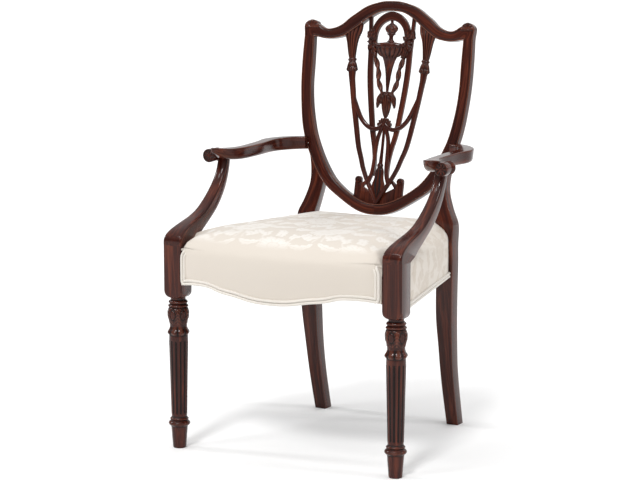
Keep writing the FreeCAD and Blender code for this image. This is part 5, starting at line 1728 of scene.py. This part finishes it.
def soft_sun(name, azimuth, rise, width, strength):
    """Broad even lamp from an azimuth (0 is in front, positive to the right) and a height, in degrees."""
    data = bpy.data.lights.new(name, "SUN")
    data.energy = strength
    data.angle = math.radians(width)
    lamp = bpy.data.objects.new(name, data)
    turn_by = math.radians(azimuth)
    up = math.radians(rise)
    source = Vector((math.sin(turn_by) * math.cos(up), -math.cos(turn_by) * math.cos(up), math.sin(up)))
    lamp.rotation_euler = (-source).to_track_quat("-Z", "Y").to_euler()
    bpy.context.scene.collection.objects.link(lamp)


SKY_LOW = 0.14
SKY_HIGH = 1.0
BACKDROP = 0.65
LAMPS = [
    ("key_soft", 8, 48, 11, 1.32),
    ("high_left", -34, 56, 6, 0.25),
    ("right_soft", 100, 30, 12, 0.6),
    ("left_soft", -80, 34, 7, 0.6),
]


FLOOR_REACH = 80.0


def build_stage():
    """Pale floor, gradient sky with a brighter backdrop, and the lamps."""
    mesh = bpy.data.meshes.new("floor")
    corners = [(x * FLOOR_REACH, y * FLOOR_REACH, 0) for x, y in ((-1, -1), (1, -1), (1, 1), (-1, 1))]
    mesh.from_pydata(corners, [], [(0, 1, 2, 3)])
    material, _, shader = new_material("floor_pale")
    shader.inputs["Base Color"].default_value = (0.95, 0.95, 0.95, 1)
    shader.inputs["Roughness"].default_value = 0.9
    mesh.materials.append(material)
    floor = bpy.data.objects.new("floor", mesh)
    bpy.context.scene.collection.objects.link(floor)
    world = bpy.data.worlds.new("studio")
    world.use_nodes = True
    tree = world.node_tree
    sky = tree.nodes["Background"]
    way = add(tree, "ShaderNodeTexCoord").outputs["Generated"]
    parts = add(tree, "ShaderNodeSeparateXYZ", [(0, way)]).outputs
    dome = levels(tree, parts[2], 0.05, 0.95, SKY_LOW, SKY_HIGH)
    backdrop = levels(tree, parts[1], 0.6, 0.9, 0.0, BACKDROP)
    strength = maths(tree, "ADD", dome, backdrop)
    sky.inputs[0].default_value = (1.0, 1.0, 1.0, 1)
    tree.links.new(strength, sky.inputs[1])
    bpy.context.scene.world = world
    for name, azimuth, rise, width, strength in LAMPS:
        soft_sun(name, azimuth, rise, width, strength)


def build_camera():
    data = bpy.data.cameras.new("camera")
    data.lens = 114.0
    data.sensor_width = 36.0
    data.shift_x = -0.0013
    data.shift_y = 0.0056
    data.clip_end = 300.0
    camera = bpy.data.objects.new("camera", data)
    camera.location = (2.1149, -3.9280, 1.1184)
    aim = Vector((-0.4749, 0.8673, -0.1490))
    camera.rotation_euler = aim.to_track_quat("-Z", "Y").to_euler()
    bpy.context.scene.collection.objects.link(camera)
    bpy.context.scene.camera = camera


build_stage()
build_camera()
bpy.context.scene.view_settings.view_transform = "Standard"
